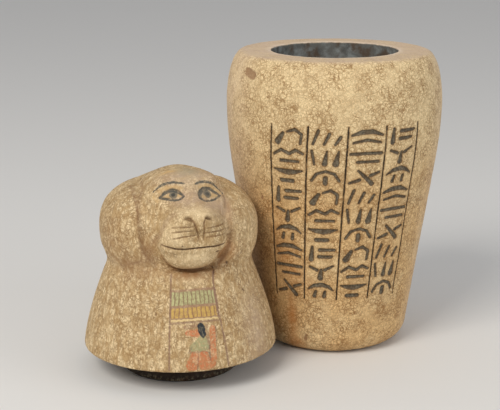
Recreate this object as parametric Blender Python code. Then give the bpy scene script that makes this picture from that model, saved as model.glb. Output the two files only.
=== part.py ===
"""A stone canopic jar and its baboon-headed lid, which stands beside it on its own tenon.

The jar is a thick-walled turned vessel with an inscribed front, and the lid is one carved stone.
Metres, +Z up. The origin is the middle of the jar's foot, and the inscribed front faces -Y.
Run with blender --background --python part.py, or from Blender's text editor.
"""

import math

import bmesh
import bpy
import numpy as np

# Jar
JAR_HEIGHT = 0.250
BELLY_RADIUS = 0.091
SHOULDER_DROP = 0.042  # from the rim down to the widest place
RIM_OUTER_RADIUS = 0.0775  # outer edge of the flat rim
MOUTH_RADIUS = 0.0534
MOUTH_ROUNDING = 0.0015
WALL = 0.026
FLOOR = 0.028
CAVITY_CORNER = 0.014
HEEL_RADIUS = 0.0653
HEEL_HEIGHT = 0.018
FOOT_RADIUS = 0.046
STRAIGHT_SHARE = 0.75  # share of the wall that runs straight before it swells to the belly
JAR_SIDES = 44

# Inscription: upright rules, with rows of strokes in the columns between them
RULE_COUNT = 5
RULE_SPREAD_TOP = math.radians(81.0)  # from the first rule to the last
RULE_SPREAD_FOOT = math.radians(87.0)
RULE_LEAN = math.radians(4.0)  # how far the rules drift round from foot to top
RULE_DROP = 0.050  # from the rim down to the rules' top ends
RULE_FOOT = 0.052
RULE_WIDTH = 0.0016
RULE_DEPTH = 0.0010
ROW_COUNT = 9
STROKE_WIDTH = 0.0026
STROKE_DEPTH = 0.0012
GROUP_WIDTH_SHARE = 0.80  # of a column
GROUP_HEIGHT_SHARE = 0.74  # of a row

# Lid
LID_HEIGHT = 0.1474  # from its seat to the crown
LID_OVERHANG = 0.0013  # past the outer edge of the jar's rim
TENON_HEIGHT = 0.020
TENON_CLEARANCE = 0.0057  # all round, in the jar's mouth
TENON_CHAMFER = 0.0020
SEAT_ROUNDING = 0.0015
LID_GAP = 0.0027  # between the lid and the jar where they come nearest
LID_BEARING = math.radians(-61.8)  # from the jar's front, towards +X
LID_TURN = math.radians(12.2)  # the face's own turn from the front, towards +X

# The head is drawn for a lid this tall, and scales with the real one.
DRAWN_HEIGHT = 0.1474
NECK_RADIUS = 0.0568
NECK_HEIGHT = 0.074
BELL_CURVE = 1.4  # over 1, so that the shoulders fall steeper towards the seat
RAY_CENTRE_HEIGHT = 0.104  # rays run level up to this height, and fan out from it above

# Each form of the head: centre, radii, squareness, and the share by which its top is narrower
MANE = ((0.0, 0.003, 0.0965), (0.0632, 0.0570, 0.0410), 2.5, 0.0)
CROWN = ((0.0, -0.002, 0.1155), (0.0300, 0.0400, 0.0310), 2.0, 0.0)
FACE = ((0.0, -0.013, 0.1120), (0.0390, 0.0375, 0.0340), 2.5, 0.0)
BROW = ((0.0, -0.030, 0.1400), (0.0230, 0.0135, 0.0060), 2.0, 0.0)
BRIDGE = ((0.0, -0.038, 0.1200), (0.0125, 0.0320, 0.0100), 2.3, 0.1)
MUZZLE = ((0.0, -0.041, 0.1065), (0.0262, 0.0290, 0.0205), 3.2, 0.15)
NOSE = ((0.0, -0.0545, 0.1165), (0.0172, 0.0193, 0.0110), 2.6, 0.1)
JAW = ((-0.0010, -0.0395, 0.0905), (0.0240, 0.0272, 0.0165), 2.3, 0.0)
NECK_BLEND = 0.006
CROWN_BLEND = 0.012
FACE_BLEND = 0.003
BROW_BLEND = 0.008
BRIDGE_BLEND = 0.009
MUZZLE_BLEND = 0.007
NOSE_BLEND = 0.003
JAW_BLEND = 0.003

# The mane is cut back inside an oval, seen from the front, and a groove follows the oval's sides.
OVAL_CENTRE = 0.1090
OVAL_HALF_WIDTHS = (0.0395, 0.0315)  # towards -X and towards +X
OVAL_HEIGHT = 0.0370
OVAL_SQUARENESS = 2.6
RECESS_DEPTH = 0.0040
OVAL_GROOVE_FOOT = math.radians(-48.0)  # up from level, on both sides
OVAL_GROOVE_TOPS = (math.radians(18.0), math.radians(6.0))  # towards -X and towards +X
OVAL_GROOVE_WIDTH = 0.0042
OVAL_GROOVE_DEPTH = 0.0020

# Lines cut into the face: how far across and up each point is, and how wide the line is there,
# all in drawn millimetres, with the viewer's left side negative.
MOUTH = ((-24.5, 97.6, 1.4), (-16.0, 95.9, 1.8), (-8.0, 95.2, 1.9), (0.0, 95.5, 1.9), (8.0, 96.0, 1.9))
MOUTH += ((16.0, 96.5, 1.8), (24.5, 97.8, 1.4))
WHISKER_HEIGHTS = (112.3, 108.5, 104.5)
LEFT_WHISKER = ((-4.5, 0.3, 1.0), (-12.5, 0.3, 1.4), (-20.5, -0.9, 1.1))  # heights from its own
RIGHT_WHISKER = ((8.5, 0.0, 1.0), (16.5, 0.3, 1.4), (24.0, 0.3, 1.1))
LEFT_LIP = ((-3.8, 118.0, 1.2), (-2.2, 114.0, 1.6), (0.2, 108.0, 1.6), (1.8, 101.8, 1.2))
RIGHT_LIP = ((4.6, 118.4, 1.1), (4.6, 113.5, 1.3), (5.6, 108.0, 1.4), (6.2, 102.5, 1.1))
LEFT_NOSTRIL = ((-11.0, 118.4, 1.4), (-8.4, 120.9, 3.0), (-5.4, 120.6, 3.6))
RIGHT_NOSTRIL = ((6.4, 121.2, 2.2), (8.6, 120.2, 3.0), (11.2, 118.0, 1.6))
BROW_LINE = ((4.0, 141.6, 1.4), (10.0, 143.2, 2.0), (17.0, 141.6, 1.9), (23.0, 137.6, 1.6), (28.0, 131.4, 1.1))
UPPER_LID = ((23.6, 131.6, 0.9), (19.5, 135.8, 1.5), (14.0, 138.0, 1.6), (8.5, 136.2, 1.5), (5.2, 132.4, 0.9))
LOWER_LID = ((21.8, 130.4, 0.9), (18.0, 128.8, 1.1), (13.5, 128.1, 1.2), (9.0, 129.0, 1.1), (6.4, 130.6, 0.9))
LINE_DEPTH = 0.0011
MOUTH_DEPTH = 0.0017
NOSTRIL_DEPTH = 0.0032

# The panel down the chest: upright rules each side, and level lines between them
PANEL_SIDES = (math.radians(-17.6), math.radians(15.8))  # its rules, from the front
PANEL_TOP_DROP = 0.0035  # from the neck down
PANEL_FOOT = 0.0030
PANEL_LINE_HEIGHTS = (0.0600, 0.0384)
PANEL_LINE_WIDTH = 0.0014
PANEL_LINE_DEPTH = 0.0009

# Spacing of the lid's mesh, finer over the face
FRONT_HALF_ANGLE = math.radians(63.0)
FRONT_STEP = math.radians(4.5)
BACK_STEP = math.radians(15.0)
BELL_STEP = 0.0140
HEAD_STEP = 0.0034
DOME_STEP = math.radians(4.0)
CROWN_STEP = math.radians(9.0)
DOME_FINE_TOP = math.radians(32.0)

# How far the cutters stand out of the stone before they cut it
INSCRIPTION_CUTTER_PROUD = 0.0008
MUZZLE_CUTTER_PROUD = 0.0014  # more, since flat facets bridge the hollows between the forms of the muzzle
LID_CUTTER_PROUD = 0.0008


def stone(name, colour, roughness):
    """A plain stone material of one colour."""
    material = bpy.data.materials.new(name)
    material.use_nodes = True
    shader = material.node_tree.nodes["Principled BSDF"]
    shader.inputs["Base Color"].default_value = (*colour, 1.0)
    shader.inputs["Roughness"].default_value = roughness
    shader.inputs["Metallic"].default_value = 0.0
    return material


def new_object(name, mesh, material=None):
    """Puts a mesh into the scene as a named object."""
    piece = bpy.data.objects.new(name, mesh)
    if material is not None:
        piece.data.materials.append(material)
    bpy.context.scene.collection.objects.link(piece)
    return piece


def cut(piece, cutter):
    """Takes a cutter's shape out of a piece."""
    cutter.hide_render = True
    cutter.display_type = "WIRE"
    boolean = piece.modifiers.new(cutter.name, "BOOLEAN")
    boolean.operation = "DIFFERENCE"
    boolean.solver = "EXACT"
    boolean.object = cutter


def jar_radius(height):
    """Outside radius: a rounded heel, a straight flare that eases to the belly, and a rounded shoulder."""
    belly_height = JAR_HEIGHT - SHOULDER_DROP
    if height < HEEL_HEIGHT:
        down = 1.0 - max(0.0, height) / HEEL_HEIGHT
        return FOOT_RADIUS + (HEEL_RADIUS - FOOT_RADIUS) * math.sqrt(1.0 - down * down)
    if height > belly_height:
        up = min(1.0, (height - belly_height) / SHOULDER_DROP)
        return RIM_OUTER_RADIUS + (BELLY_RADIUS - RIM_OUTER_RADIUS) * math.sqrt(1.0 - up * up)
    share = (height - HEEL_HEIGHT) / (belly_height - HEEL_HEIGHT)
    slope = 2.0 / (1.0 + STRAIGHT_SHARE)
    if share < STRAIGHT_SHARE:
        swell = slope * share
    else:
        swell = 1.0 - slope * (1.0 - share) ** 2 / (2.0 * (1.0 - STRAIGHT_SHARE))
    return HEEL_RADIUS + (BELLY_RADIUS - HEEL_RADIUS) * swell


def cavity_radius(height):
    """Inside radius: the mouth's own, until the wall's thickness calls for less."""
    return min(MOUTH_RADIUS, jar_radius(height) - WALL)


def jar_profile():
    """Radius and height down the whole section: foot, outside, rim, mouth, cavity and its floor."""
    belly_height = JAR_HEIGHT - SHOULDER_DROP
    quarter = math.pi / 2.0
    heel = [HEEL_HEIGHT * (1.0 - math.cos(quarter * i / 4.0)) for i in range(5)]
    flare = [HEEL_HEIGHT + (belly_height - HEEL_HEIGHT) * i / 6.0 for i in range(1, 6)]
    shoulder = [belly_height + SHOULDER_DROP * math.sin(quarter * i / 6.0) for i in range(7)]
    profile = [(0.0, 0.0)]
    profile += [(jar_radius(height), height) for height in heel + flare + shoulder]
    for i in range(3):
        angle = quarter * i / 2.0
        inset = MOUTH_ROUNDING * (1.0 - math.sin(angle))
        profile.append((MOUTH_RADIUS + inset, JAR_HEIGHT - MOUTH_ROUNDING * (1.0 - math.cos(angle))))
    floor_top = FLOOR + CAVITY_CORNER
    inner = [JAR_HEIGHT + (floor_top - JAR_HEIGHT) * i / 3.0 for i in range(1, 4)]
    profile += [(cavity_radius(height), height) for height in inner]
    corner_centre = cavity_radius(floor_top) - CAVITY_CORNER
    for i in range(1, 4):
        angle = quarter * i / 3.0
        across = corner_centre + CAVITY_CORNER * math.cos(angle)
        profile.append((across, floor_top - CAVITY_CORNER * math.sin(angle)))
    profile.append((0.0, FLOOR))
    return profile


def make_jar_body():
    """The vessel, turned from its section."""
    shape = bmesh.new()
    verts = [shape.verts.new((radius, 0.0, height)) for radius, height in jar_profile()]
    edges = [shape.edges.new(pair) for pair in zip(verts, verts[1:])]
    bmesh.ops.spin(
        shape,
        geom=verts + edges,
        cent=(0.0, 0.0, 0.0),
        axis=(0.0, 0.0, 1.0),
        angle=2.0 * math.pi,
        steps=JAR_SIDES,
        use_merge=True,
    )
    bmesh.ops.remove_doubles(shape, verts=shape.verts, dist=1e-6)
    bmesh.ops.recalc_face_normals(shape, faces=shape.faces)
    mesh = bpy.data.meshes.new("jar_body")
    shape.to_mesh(mesh)
    shape.free()
    mesh.shade_smooth()
    mesh.set_sharp_from_angle(angle=math.radians(35.0))
    return new_object("jar_body", mesh, stone("jar_stone", (0.62, 0.48, 0.28), 0.75))


def rule_top():
    """Height of the rules' top ends."""
    return JAR_HEIGHT - RULE_DROP


def rule_angle(place, height):
    """Angle from the front of a place across the inscription: 0 is the first rule, 1 the second, and so on."""
    share = (height - RULE_FOOT) / (rule_top() - RULE_FOOT)
    spread = RULE_SPREAD_FOOT + (RULE_SPREAD_TOP - RULE_SPREAD_FOOT) * share
    return spread * (place / (RULE_COUNT - 1) - 0.5) + RULE_LEAN * (share - 0.5)


def on_jar(place, height, across, up, outward):
    """A point by the jar's outside: across and up are lengths from a place in the inscription."""
    level = height + up
    angle = rule_angle(place, level) + across / jar_radius(level)
    radius = jar_radius(level) + outward
    return (radius * math.sin(angle), -radius * math.cos(angle), level)


def bars():
    """Two level bars, the lower one shorter."""
    return [[(-1.0, 0.5, 1.1), (0.0, 0.55, 1.1), (1.0, 0.5, 1.1)], [(-0.55, -0.6, 1.0), (0.85, -0.6, 1.0)]]


def leaning_ticks():
    """Three leaning ticks that shorten to one side."""
    return [[(0.7 * i - 0.9, -0.9, 0.9), (0.7 * i - 0.6, 0.9 - 0.4 * i, 1.1)] for i in range(3)]


def bowl():
    """A full bowl over a thick dash."""
    brim = [(-1.0, 0.75, 0.5), (-0.5, 0.55, 1.5), (0.0, 0.45, 2.0), (0.5, 0.55, 1.5), (1.0, 0.75, 0.5)]
    return [brim, [(-0.35, -0.75, 1.4), (0.45, -0.75, 1.4)]]


def bent_line():
    """One line of uneven bends over a dash."""
    bends = [(-1.0, 0.1, 0.9), (-0.5, 0.75, 1.1), (0.1, 0.3, 1.1), (0.5, 0.85, 1.1), (1.0, 0.4, 0.8)]
    return [bends, [(-0.5, -0.7, 1.2), (0.7, -0.7, 0.9)]]


def wedges():
    """Two wedges that swell downwards, and a slanting line beside them."""
    first = [(-0.75, 0.9, 0.6), (-0.6, -0.8, 2.2)]
    second = [(0.0, 0.9, 0.6), (0.1, -0.8, 1.8)]
    return [first, second, [(0.75, -0.9, 0.9), (0.95, 0.9, 0.9)]]


def hook():
    """A hooked line round a short thick stroke."""
    crook = [(-0.8, -0.95, 0.9), (-0.85, 0.3, 1.0), (-0.4, 0.9, 1.1), (0.1, 0.55, 0.8)]
    return [crook, [(0.4, 0.3, 1.2), (0.75, -0.85, 2.2)]]


def arch():
    """An arch over a short stroke."""
    sweep = [math.radians(-80.0 + 40.0 * i) for i in range(5)]
    curve = [(0.9 * math.sin(turn), 1.6 * math.cos(turn) - 0.75, 1.0) for turn in sweep]
    return [curve, [(0.0, -0.1, 1.6), (0.0, -0.8, 1.6)]]


def branch():
    """A long slanting stroke with a twig on each side."""
    stem = [(-0.55, -0.95, 1.6), (0.45, 0.95, 0.8)]
    return [stem, [(-0.95, 0.6, 0.9), (-0.4, 0.2, 1.2)], [(0.3, -0.35, 1.2), (0.95, -0.75, 0.9)]]


def crescent():
    """A swelling arc over two short ticks."""
    arc = [(-0.95, 0.1, 0.6), (-0.5, 0.65, 1.3), (0.1, 0.8, 1.7), (0.6, 0.55, 1.2), (0.95, 0.0, 0.6)]
    return [arc, [(-0.35, -0.2, 1.0), (-0.45, -0.9, 1.3)], [(0.35, -0.2, 1.0), (0.3, -0.9, 1.3)]]


def forked():
    """A stem that swells downwards, with an arm on each side near its top."""
    stem = [(0.0, 0.35, 0.9), (0.05, -0.9, 1.9)]
    return [stem, [(-0.85, 0.9, 0.8), (-0.25, 0.3, 1.1)], [(0.85, 0.7, 0.8), (0.3, 0.25, 1.1)]]


def ladder():
    """A tall stroke with two short bars at its side."""
    tall = [(-0.7, 0.9, 1.0), (-0.75, -0.9, 1.8)]
    return [tall, [(-0.15, 0.5, 1.3), (0.9, 0.55, 1.0)], [(-0.2, -0.5, 1.3), (0.7, -0.45, 1.0)]]


def swell():
    """Two gently bowed lines, the upper one heavier."""
    upper = [(-1.0, 0.25, 0.7), (-0.3, 0.75, 1.6), (0.4, 0.7, 1.6), (1.0, 0.3, 0.8)]
    return [upper, [(-0.9, -0.75, 0.8), (0.0, -0.35, 1.1), (0.9, -0.7, 0.8)]]


STROKE_GROUPS = (hook, bars, bowl, leaning_ticks, forked, arch)
STROKE_GROUPS += (swell, bent_line, branch, ladder, wedges, crescent)


def inscription_strokes():
    """Each rule and stroke: its place, middle height, depth, and points across and up with their widths."""
    length = rule_top() - RULE_FOOT
    middle = RULE_FOOT + length / 2.0
    strokes = [(rule, middle, RULE_DEPTH, rule_line()) for rule in range(RULE_COUNT)]
    pitch = length / ROW_COUNT
    for column in range(RULE_COUNT - 1):
        for row in range(ROW_COUNT):
            middle = rule_top() - pitch * (row + 0.5)
            width = jar_radius(middle) * (rule_angle(1, middle) - rule_angle(0, middle))
            reach = GROUP_WIDTH_SHARE * width / 2.0 * (1.0 if (column + row) % 2 else -1.0)
            rise = GROUP_HEIGHT_SHARE * pitch / 2.0
            group = STROKE_GROUPS[(3 * column + 7 * row) % len(STROKE_GROUPS)]
            for stroke in group():
                points = [(across * reach, up * rise, STROKE_WIDTH * swell) for across, up, swell in stroke]
                strokes.append((column + 0.5, middle, STROKE_DEPTH, points))
    return strokes


def rule_line():
    """One upright rule, as heights above and below its own middle."""
    half = (rule_top() - RULE_FOOT) / 2.0
    return [(0.0, half * (i / 3.0 - 1.0), RULE_WIDTH) for i in range(7)]


def stroke_edges(points, depth):
    """The left and right edges of a stroke's bar in its own plane, where it stands proud of the stone."""
    line = np.array([point[:2] for point in points])
    half = np.array([point[2] for point in points])[:, None] / 2.0 * (1.0 + INSCRIPTION_CUTTER_PROUD / depth)
    step = np.gradient(line, axis=0)
    step /= np.linalg.norm(step, axis=1)[:, None]
    side = np.stack([-step[:, 1], step[:, 0]], axis=1)
    return line + side * half, line, line - side * half


def add_bar(shape, rings):
    """Adds a closed bar to a mesh: each ring is a loop of points round it, and the end rings are capped."""
    loops = [[shape.verts.new(point) for point in ring] for ring in rings]
    count = len(loops[0])
    for first, second in zip(loops, loops[1:]):
        for i in range(count):
            j = (i + 1) % count
            shape.faces.new((first[i], first[j], second[j], second[i]))
    shape.faces.new(reversed(loops[0]))
    shape.faces.new(loops[-1])


def finish_cutter(name, shape):
    """Turns a mesh of closed bars into a cutter object."""
    bmesh.ops.recalc_face_normals(shape, faces=shape.faces)
    mesh = bpy.data.meshes.new(name)
    shape.to_mesh(mesh)
    shape.free()
    return new_object(name, mesh)


def make_inscription_cutter():
    """All the rules and strokes, as V-shaped bars sunk into the jar's front."""
    shape = bmesh.new()
    for place, middle, depth, points in inscription_strokes():
        rings = []
        for left, line, right in zip(*stroke_edges(points, depth)):
            corners = [(left, INSCRIPTION_CUTTER_PROUD), (right, INSCRIPTION_CUTTER_PROUD), (line, -depth)]
            rings.append([on_jar(place, middle, *corner, outward) for corner, outward in corners])
        add_bar(shape, rings)
    return finish_cutter("inscription_cutter", shape)


def lid_scale():
    """How far the drawn head is scaled to the real lid."""
    return LID_HEIGHT / DRAWN_HEIGHT


def lid_seat_radius():
    """Outer radius of the lid's seat, a little past the jar's rim."""
    return RIM_OUTER_RADIUS + LID_OVERHANG


def rounded(point, form):
    """Roughly the distance to a rounded form: each axis over its radius, to a power, summed."""
    centre, radii, power, narrowing = form
    scale = lid_scale()
    off = point - np.array(centre) * scale
    radii = np.array(radii) * scale
    widening = 1.0 - narrowing * np.clip(off[..., 2] / radii[2], -1.0, 1.0)
    off = np.abs(off) / np.stack([widening, np.ones_like(widening), np.ones_like(widening)], axis=-1)
    size = np.maximum(np.sum((off / radii) ** power, axis=-1) ** (1.0 / power), 1e-6)
    slope = np.sqrt(np.sum((off ** (power - 1.0) / radii**power) ** 2, axis=-1)) * size ** (1.0 - power)
    return (size - 1.0) / np.maximum(slope, 1e-6)


def blended(first, second, width):
    """The union of two distances, with a fillet of about this width."""
    near = np.maximum(width - np.abs(first - second), 0.0) / width
    return np.minimum(first, second) - near * near * width / 4.0


def eased(value):
    """0 below 0, 1 above 1, and a smooth rise between."""
    value = np.clip(value, 0.0, 1.0)
    return value * value * (3.0 - 2.0 * value)


def in_oval(point):
    """How far out from the face's middle a point is, seen from the front: 1 on the oval round it."""
    scale = lid_scale()
    half_width = np.where(point[..., 0] < 0.0, *OVAL_HALF_WIDTHS) * scale
    across = np.abs(point[..., 0]) / half_width
    up = np.abs(point[..., 2] - OVAL_CENTRE * scale) / (OVAL_HEIGHT * scale)
    out = (across**OVAL_SQUARENESS + up**OVAL_SQUARENESS) ** (1.0 / OVAL_SQUARENESS)
    return np.where(point[..., 1] < 0.0, out, 2.0)


def face_recess(point):
    """How deep the mane is cut back inside the oval."""
    return RECESS_DEPTH * lid_scale() * eased((1.05 - in_oval(point)) / 0.15)


def bell(point):
    """Distance to the shoulders, which widen from the neck to the seat by a power of the height."""
    scale = lid_scale()
    neck_height = NECK_HEIGHT * scale
    rise = np.clip(point[..., 2] / neck_height, 0.0, 1.0) ** BELL_CURVE
    radius = lid_seat_radius() + (NECK_RADIUS * scale - lid_seat_radius()) * rise
    outside = np.hypot(point[..., 0], point[..., 1]) - radius
    return np.maximum(outside, point[..., 2] - neck_height)


def lid_distance(point):
    """Roughly the distance from a point to the lid's carved surface, less than nothing inside."""
    scale = lid_scale()
    mane = rounded(point, MANE) + face_recess(point)
    head = blended(mane, rounded(point, CROWN), CROWN_BLEND * scale)
    head = blended(head, bell(point), NECK_BLEND * scale)
    face = blended(rounded(point, FACE), rounded(point, BROW), BROW_BLEND * scale)
    face = blended(face, rounded(point, BRIDGE), BRIDGE_BLEND * scale)
    face = blended(face, rounded(point, MUZZLE), MUZZLE_BLEND * scale)
    face = blended(face, rounded(point, NOSE), NOSE_BLEND * scale)
    face = blended(face, rounded(point, JAW), JAW_BLEND * scale)
    return blended(head, face, FACE_BLEND * scale)


def surface_along(origins, directions):
    """Where rays from inside the lid meet its surface, by halving the stretch in which it lies."""
    near = np.zeros(origins.shape[:-1])
    far = np.full(origins.shape[:-1], LID_HEIGHT)
    for _ in range(30):
        middle = (near + far) / 2.0
        inside = lid_distance(origins + directions * middle[..., None]) < 0.0
        near = np.where(inside, middle, near)
        far = np.where(inside, far, middle)
    return origins + directions * far[..., None]


def stepped(start, end, step):
    """Evenly spaced values from start up to end, about a step apart, without the end."""
    count = max(1, round((end - start) / step))
    return [start + (end - start) * i / count for i in range(count)]


def lid_columns():
    """Angles round the lid from its front, closer over the face."""
    front = stepped(-FRONT_HALF_ANGLE, FRONT_HALF_ANGLE, FRONT_STEP)
    back = stepped(FRONT_HALF_ANGLE, 2.0 * math.pi - FRONT_HALF_ANGLE, BACK_STEP)
    return np.array(front + back)


def lid_rays():
    """Height and tilt of each row of rays, from just over the seat to just under the crown."""
    scale = lid_scale()
    neck = NECK_HEIGHT * scale
    centre = RAY_CENTRE_HEIGHT * scale
    bell_rows = stepped(SEAT_ROUNDING, neck - HEAD_STEP, BELL_STEP)
    level = bell_rows + stepped(neck - HEAD_STEP, centre, HEAD_STEP)
    tilted = stepped(0.0, DOME_FINE_TOP, DOME_STEP)
    tilted += stepped(DOME_FINE_TOP, math.pi / 2.0, CROWN_STEP)
    return [(height, 0.0) for height in level] + [(centre, tilt) for tilt in tilted]


def ring(radius, height, columns):
    """A level circle of points."""
    return np.stack(
        [radius * np.sin(columns), -radius * np.cos(columns), np.full_like(columns, height)], axis=-1
    )


def make_lid():
    """The carved lid: tenon, seat, shoulders and head as rings of points from the bottom to the crown."""
    columns = lid_columns()
    tenon = MOUTH_RADIUS - TENON_CLEARANCE
    seat = lid_seat_radius()
    rings = [
        ring(tenon - TENON_CHAMFER, -TENON_HEIGHT, columns),
        ring(tenon, TENON_CHAMFER - TENON_HEIGHT, columns),
        ring(tenon, 0.0, columns),
        ring(seat - SEAT_ROUNDING, 0.0, columns),
    ]
    for height, tilt in lid_rays():
        level = math.cos(tilt)
        directions = np.stack(
            [np.sin(columns) * level, -np.cos(columns) * level, np.full_like(columns, math.sin(tilt))], axis=-1
        )
        origins = np.zeros_like(directions)
        origins[:, 2] = height
        rings.append(surface_along(origins, directions))
    crown_ray = surface_along(np.array([[0.0, 0.0, RAY_CENTRE_HEIGHT * lid_scale()]]), np.array([[0.0, 0.0, 1.0]]))
    shape = bmesh.new()
    loops = [[shape.verts.new(point) for point in points] for points in rings]
    foot = shape.verts.new((0.0, 0.0, -TENON_HEIGHT))
    crown = shape.verts.new(crown_ray[0])
    count = len(columns)
    for i in range(count):
        j = (i + 1) % count
        for lower, upper in zip(loops, loops[1:]):
            shape.faces.new((lower[i], lower[j], upper[j], upper[i]))
        shape.faces.new((foot, loops[0][j], loops[0][i]))
        shape.faces.new((crown, loops[-1][i], loops[-1][j]))
    bmesh.ops.recalc_face_normals(shape, faces=shape.faces)
    mesh = bpy.data.meshes.new("baboon_lid")
    shape.to_mesh(mesh)
    shape.free()
    mesh.shade_smooth()
    mesh.set_sharp_from_angle(angle=math.radians(50.0))
    return new_object("baboon_lid", mesh, stone("lid_stone", (0.64, 0.50, 0.32), 0.78))


def lid_normals(points):
    """The way out of the lid at points on its surface, from how the distance changes round them."""
    step = 0.0002
    changes = [lid_distance(points + side) - lid_distance(points - side) for side in np.eye(3) * step]
    normals = np.stack(changes, axis=-1)
    return normals / np.linalg.norm(normals, axis=-1)[..., None]


def front_points(line):
    """Points on the lid's surface, seen from the front: across and up in drawn millimetres."""
    scale = lid_scale() / 1000.0
    origins = np.array([(across * scale, 0.0, up * scale) for across, up, _ in line])
    return surface_along(origins, np.tile((0.0, -1.0, 0.0), (len(line), 1)))


def chest_points(angles, heights):
    """Points on the lid's surface, by their angle from the front and their height."""
    origins = np.stack([np.zeros_like(heights), np.zeros_like(heights), heights], axis=-1)
    directions = np.stack([np.sin(angles), -np.cos(angles), np.zeros_like(angles)], axis=-1)
    return surface_along(origins, directions)


def add_groove(shape, points, widths, depth, proud=LID_CUTTER_PROUD):
    """Adds a V-shaped bar that follows points on the lid's surface, sunk to a depth."""
    normals = lid_normals(points)
    sides = np.cross(normals, np.gradient(points, axis=0))
    half = np.array(widths) / 2.0 * (1.0 + proud / depth)
    sides *= (half / np.linalg.norm(sides, axis=1))[:, None]
    over = points + normals * proud
    add_bar(shape, list(zip(over + sides, over - sides, points - normals * depth)))


def mirrored(line):
    """A line of the face on its other side."""
    return [(-across, up, width) for across, up, width in line]


def muzzle_lines():
    """The mouth, lips and whiskers, each with its depth."""
    lines = [(MOUTH, MOUTH_DEPTH), (LEFT_LIP, LINE_DEPTH), (RIGHT_LIP, LINE_DEPTH)]
    for level in WHISKER_HEIGHTS:
        for whisker in (LEFT_WHISKER, RIGHT_WHISKER):
            lines.append(([(across, level + up, width) for across, up, width in whisker], LINE_DEPTH))
    return lines


def upper_lines():
    """The nostrils, brow lines, upper eyelids and the groove on each side of the face, each with its depth."""
    lines = [(LEFT_NOSTRIL, NOSTRIL_DEPTH), (RIGHT_NOSTRIL, NOSTRIL_DEPTH)]
    lines += [(oval_line(side), OVAL_GROOVE_DEPTH) for side in (-1.0, 1.0)]
    for line in (BROW_LINE, UPPER_LID):
        lines += [(line, LINE_DEPTH), (mirrored(line), LINE_DEPTH)]
    return lines


def lower_lid_lines():
    """The lower eyelids with their depth."""
    return [(LOWER_LID, LINE_DEPTH), (mirrored(LOWER_LID), LINE_DEPTH)]


def oval_line(side):
    """The groove round one side of the face, in drawn millimetres."""
    hand = 0 if side < 0.0 else 1
    half_width = OVAL_HALF_WIDTHS[hand]
    line = []
    rounding = 2.0 / OVAL_SQUARENESS
    for turn in np.linspace(OVAL_GROOVE_FOOT, OVAL_GROOVE_TOPS[hand], 8):
        across = side * half_width * math.cos(turn) ** rounding
        up = OVAL_CENTRE + OVAL_HEIGHT * math.copysign(abs(math.sin(turn)) ** rounding, turn)
        line.append((across * 1000.0, up * 1000.0, OVAL_GROOVE_WIDTH * 1000.0))
    return line


def make_line_cutter(name, lines, proud=LID_CUTTER_PROUD):
    """Lines of the face, clear of each other, as bars sunk into the lid."""
    shape = bmesh.new()
    scale = lid_scale()
    for line, depth in lines:
        widths = [width * scale / 1000.0 for _, _, width in line]
        add_groove(shape, front_points(line), widths, depth * scale, proud)
    return finish_cutter(name, shape)


def make_panel_cutter():
    """The rules and level lines of the chest panel, clear of each other."""
    shape = bmesh.new()
    scale = lid_scale()
    heights = np.linspace(PANEL_FOOT, (NECK_HEIGHT - PANEL_TOP_DROP) * scale, 7)
    for side in PANEL_SIDES:
        rule = chest_points(np.full_like(heights, side), heights)
        add_groove(shape, rule, [PANEL_LINE_WIDTH] * len(heights), PANEL_LINE_DEPTH)
    inset = 0.035 * (PANEL_SIDES[1] - PANEL_SIDES[0])
    angles = np.linspace(PANEL_SIDES[0] + inset, PANEL_SIDES[1] - inset, 5)
    for height in PANEL_LINE_HEIGHTS:
        line = chest_points(angles, np.full_like(angles, height * scale))
        add_groove(shape, line, [PANEL_LINE_WIDTH] * len(angles), PANEL_LINE_DEPTH)
    return finish_cutter("panel_cutter", shape)


def lid_stand_off():
    """Distance between the two axes that leaves the gap between the lid's side and the jar."""
    heights = np.linspace(SEAT_ROUNDING, RAY_CENTRE_HEIGHT * lid_scale(), 60)
    towards_jar = np.full_like(heights, math.pi + LID_BEARING - LID_TURN)
    side = chest_points(towards_jar, heights)
    together = np.hypot(side[:, 0], side[:, 1])
    together += [jar_radius(TENON_HEIGHT + height) for height in heights]
    return together.max() + LID_GAP


def place_lid(pieces):
    """Stands the lid's pieces on the tenon beside the jar, with the face turned."""
    stand = bpy.data.objects.new("lid_place", None)
    bpy.context.scene.collection.objects.link(stand)
    away = lid_stand_off()
    stand.location = (away * math.sin(LID_BEARING), -away * math.cos(LID_BEARING), TENON_HEIGHT)
    stand.rotation_euler = (0.0, 0.0, LID_TURN)
    for piece in pieces:
        piece.parent = stand


def main():
    for leftover in list(bpy.data.objects):
        bpy.data.objects.remove(leftover)
    jar_body = make_jar_body()
    cut(jar_body, make_inscription_cutter())
    lid = make_lid()
    cutters = [
        make_line_cutter("muzzle_cutter", muzzle_lines(), MUZZLE_CUTTER_PROUD),
        make_line_cutter("upper_cutter", upper_lines()),
        make_line_cutter("lower_lid_cutter", lower_lid_lines()),
        make_panel_cutter(),
    ]
    for cutter in cutters:
        cut(lid, cutter)
    place_lid([lid] + cutters)


main()
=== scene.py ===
"""The visual model of a stone canopic jar, with its baboon-headed lid standing beside it on its tenon.

Both pieces are surfaces worked out on a grid of two parameters: the jar by angle and distance along
its turned section, the lid by rays that run out of its axis to a carved form. Carving, chips and wear
shift the surface along its normal, and distances to them are kept as attributes for the materials.
"""

import math

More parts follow.
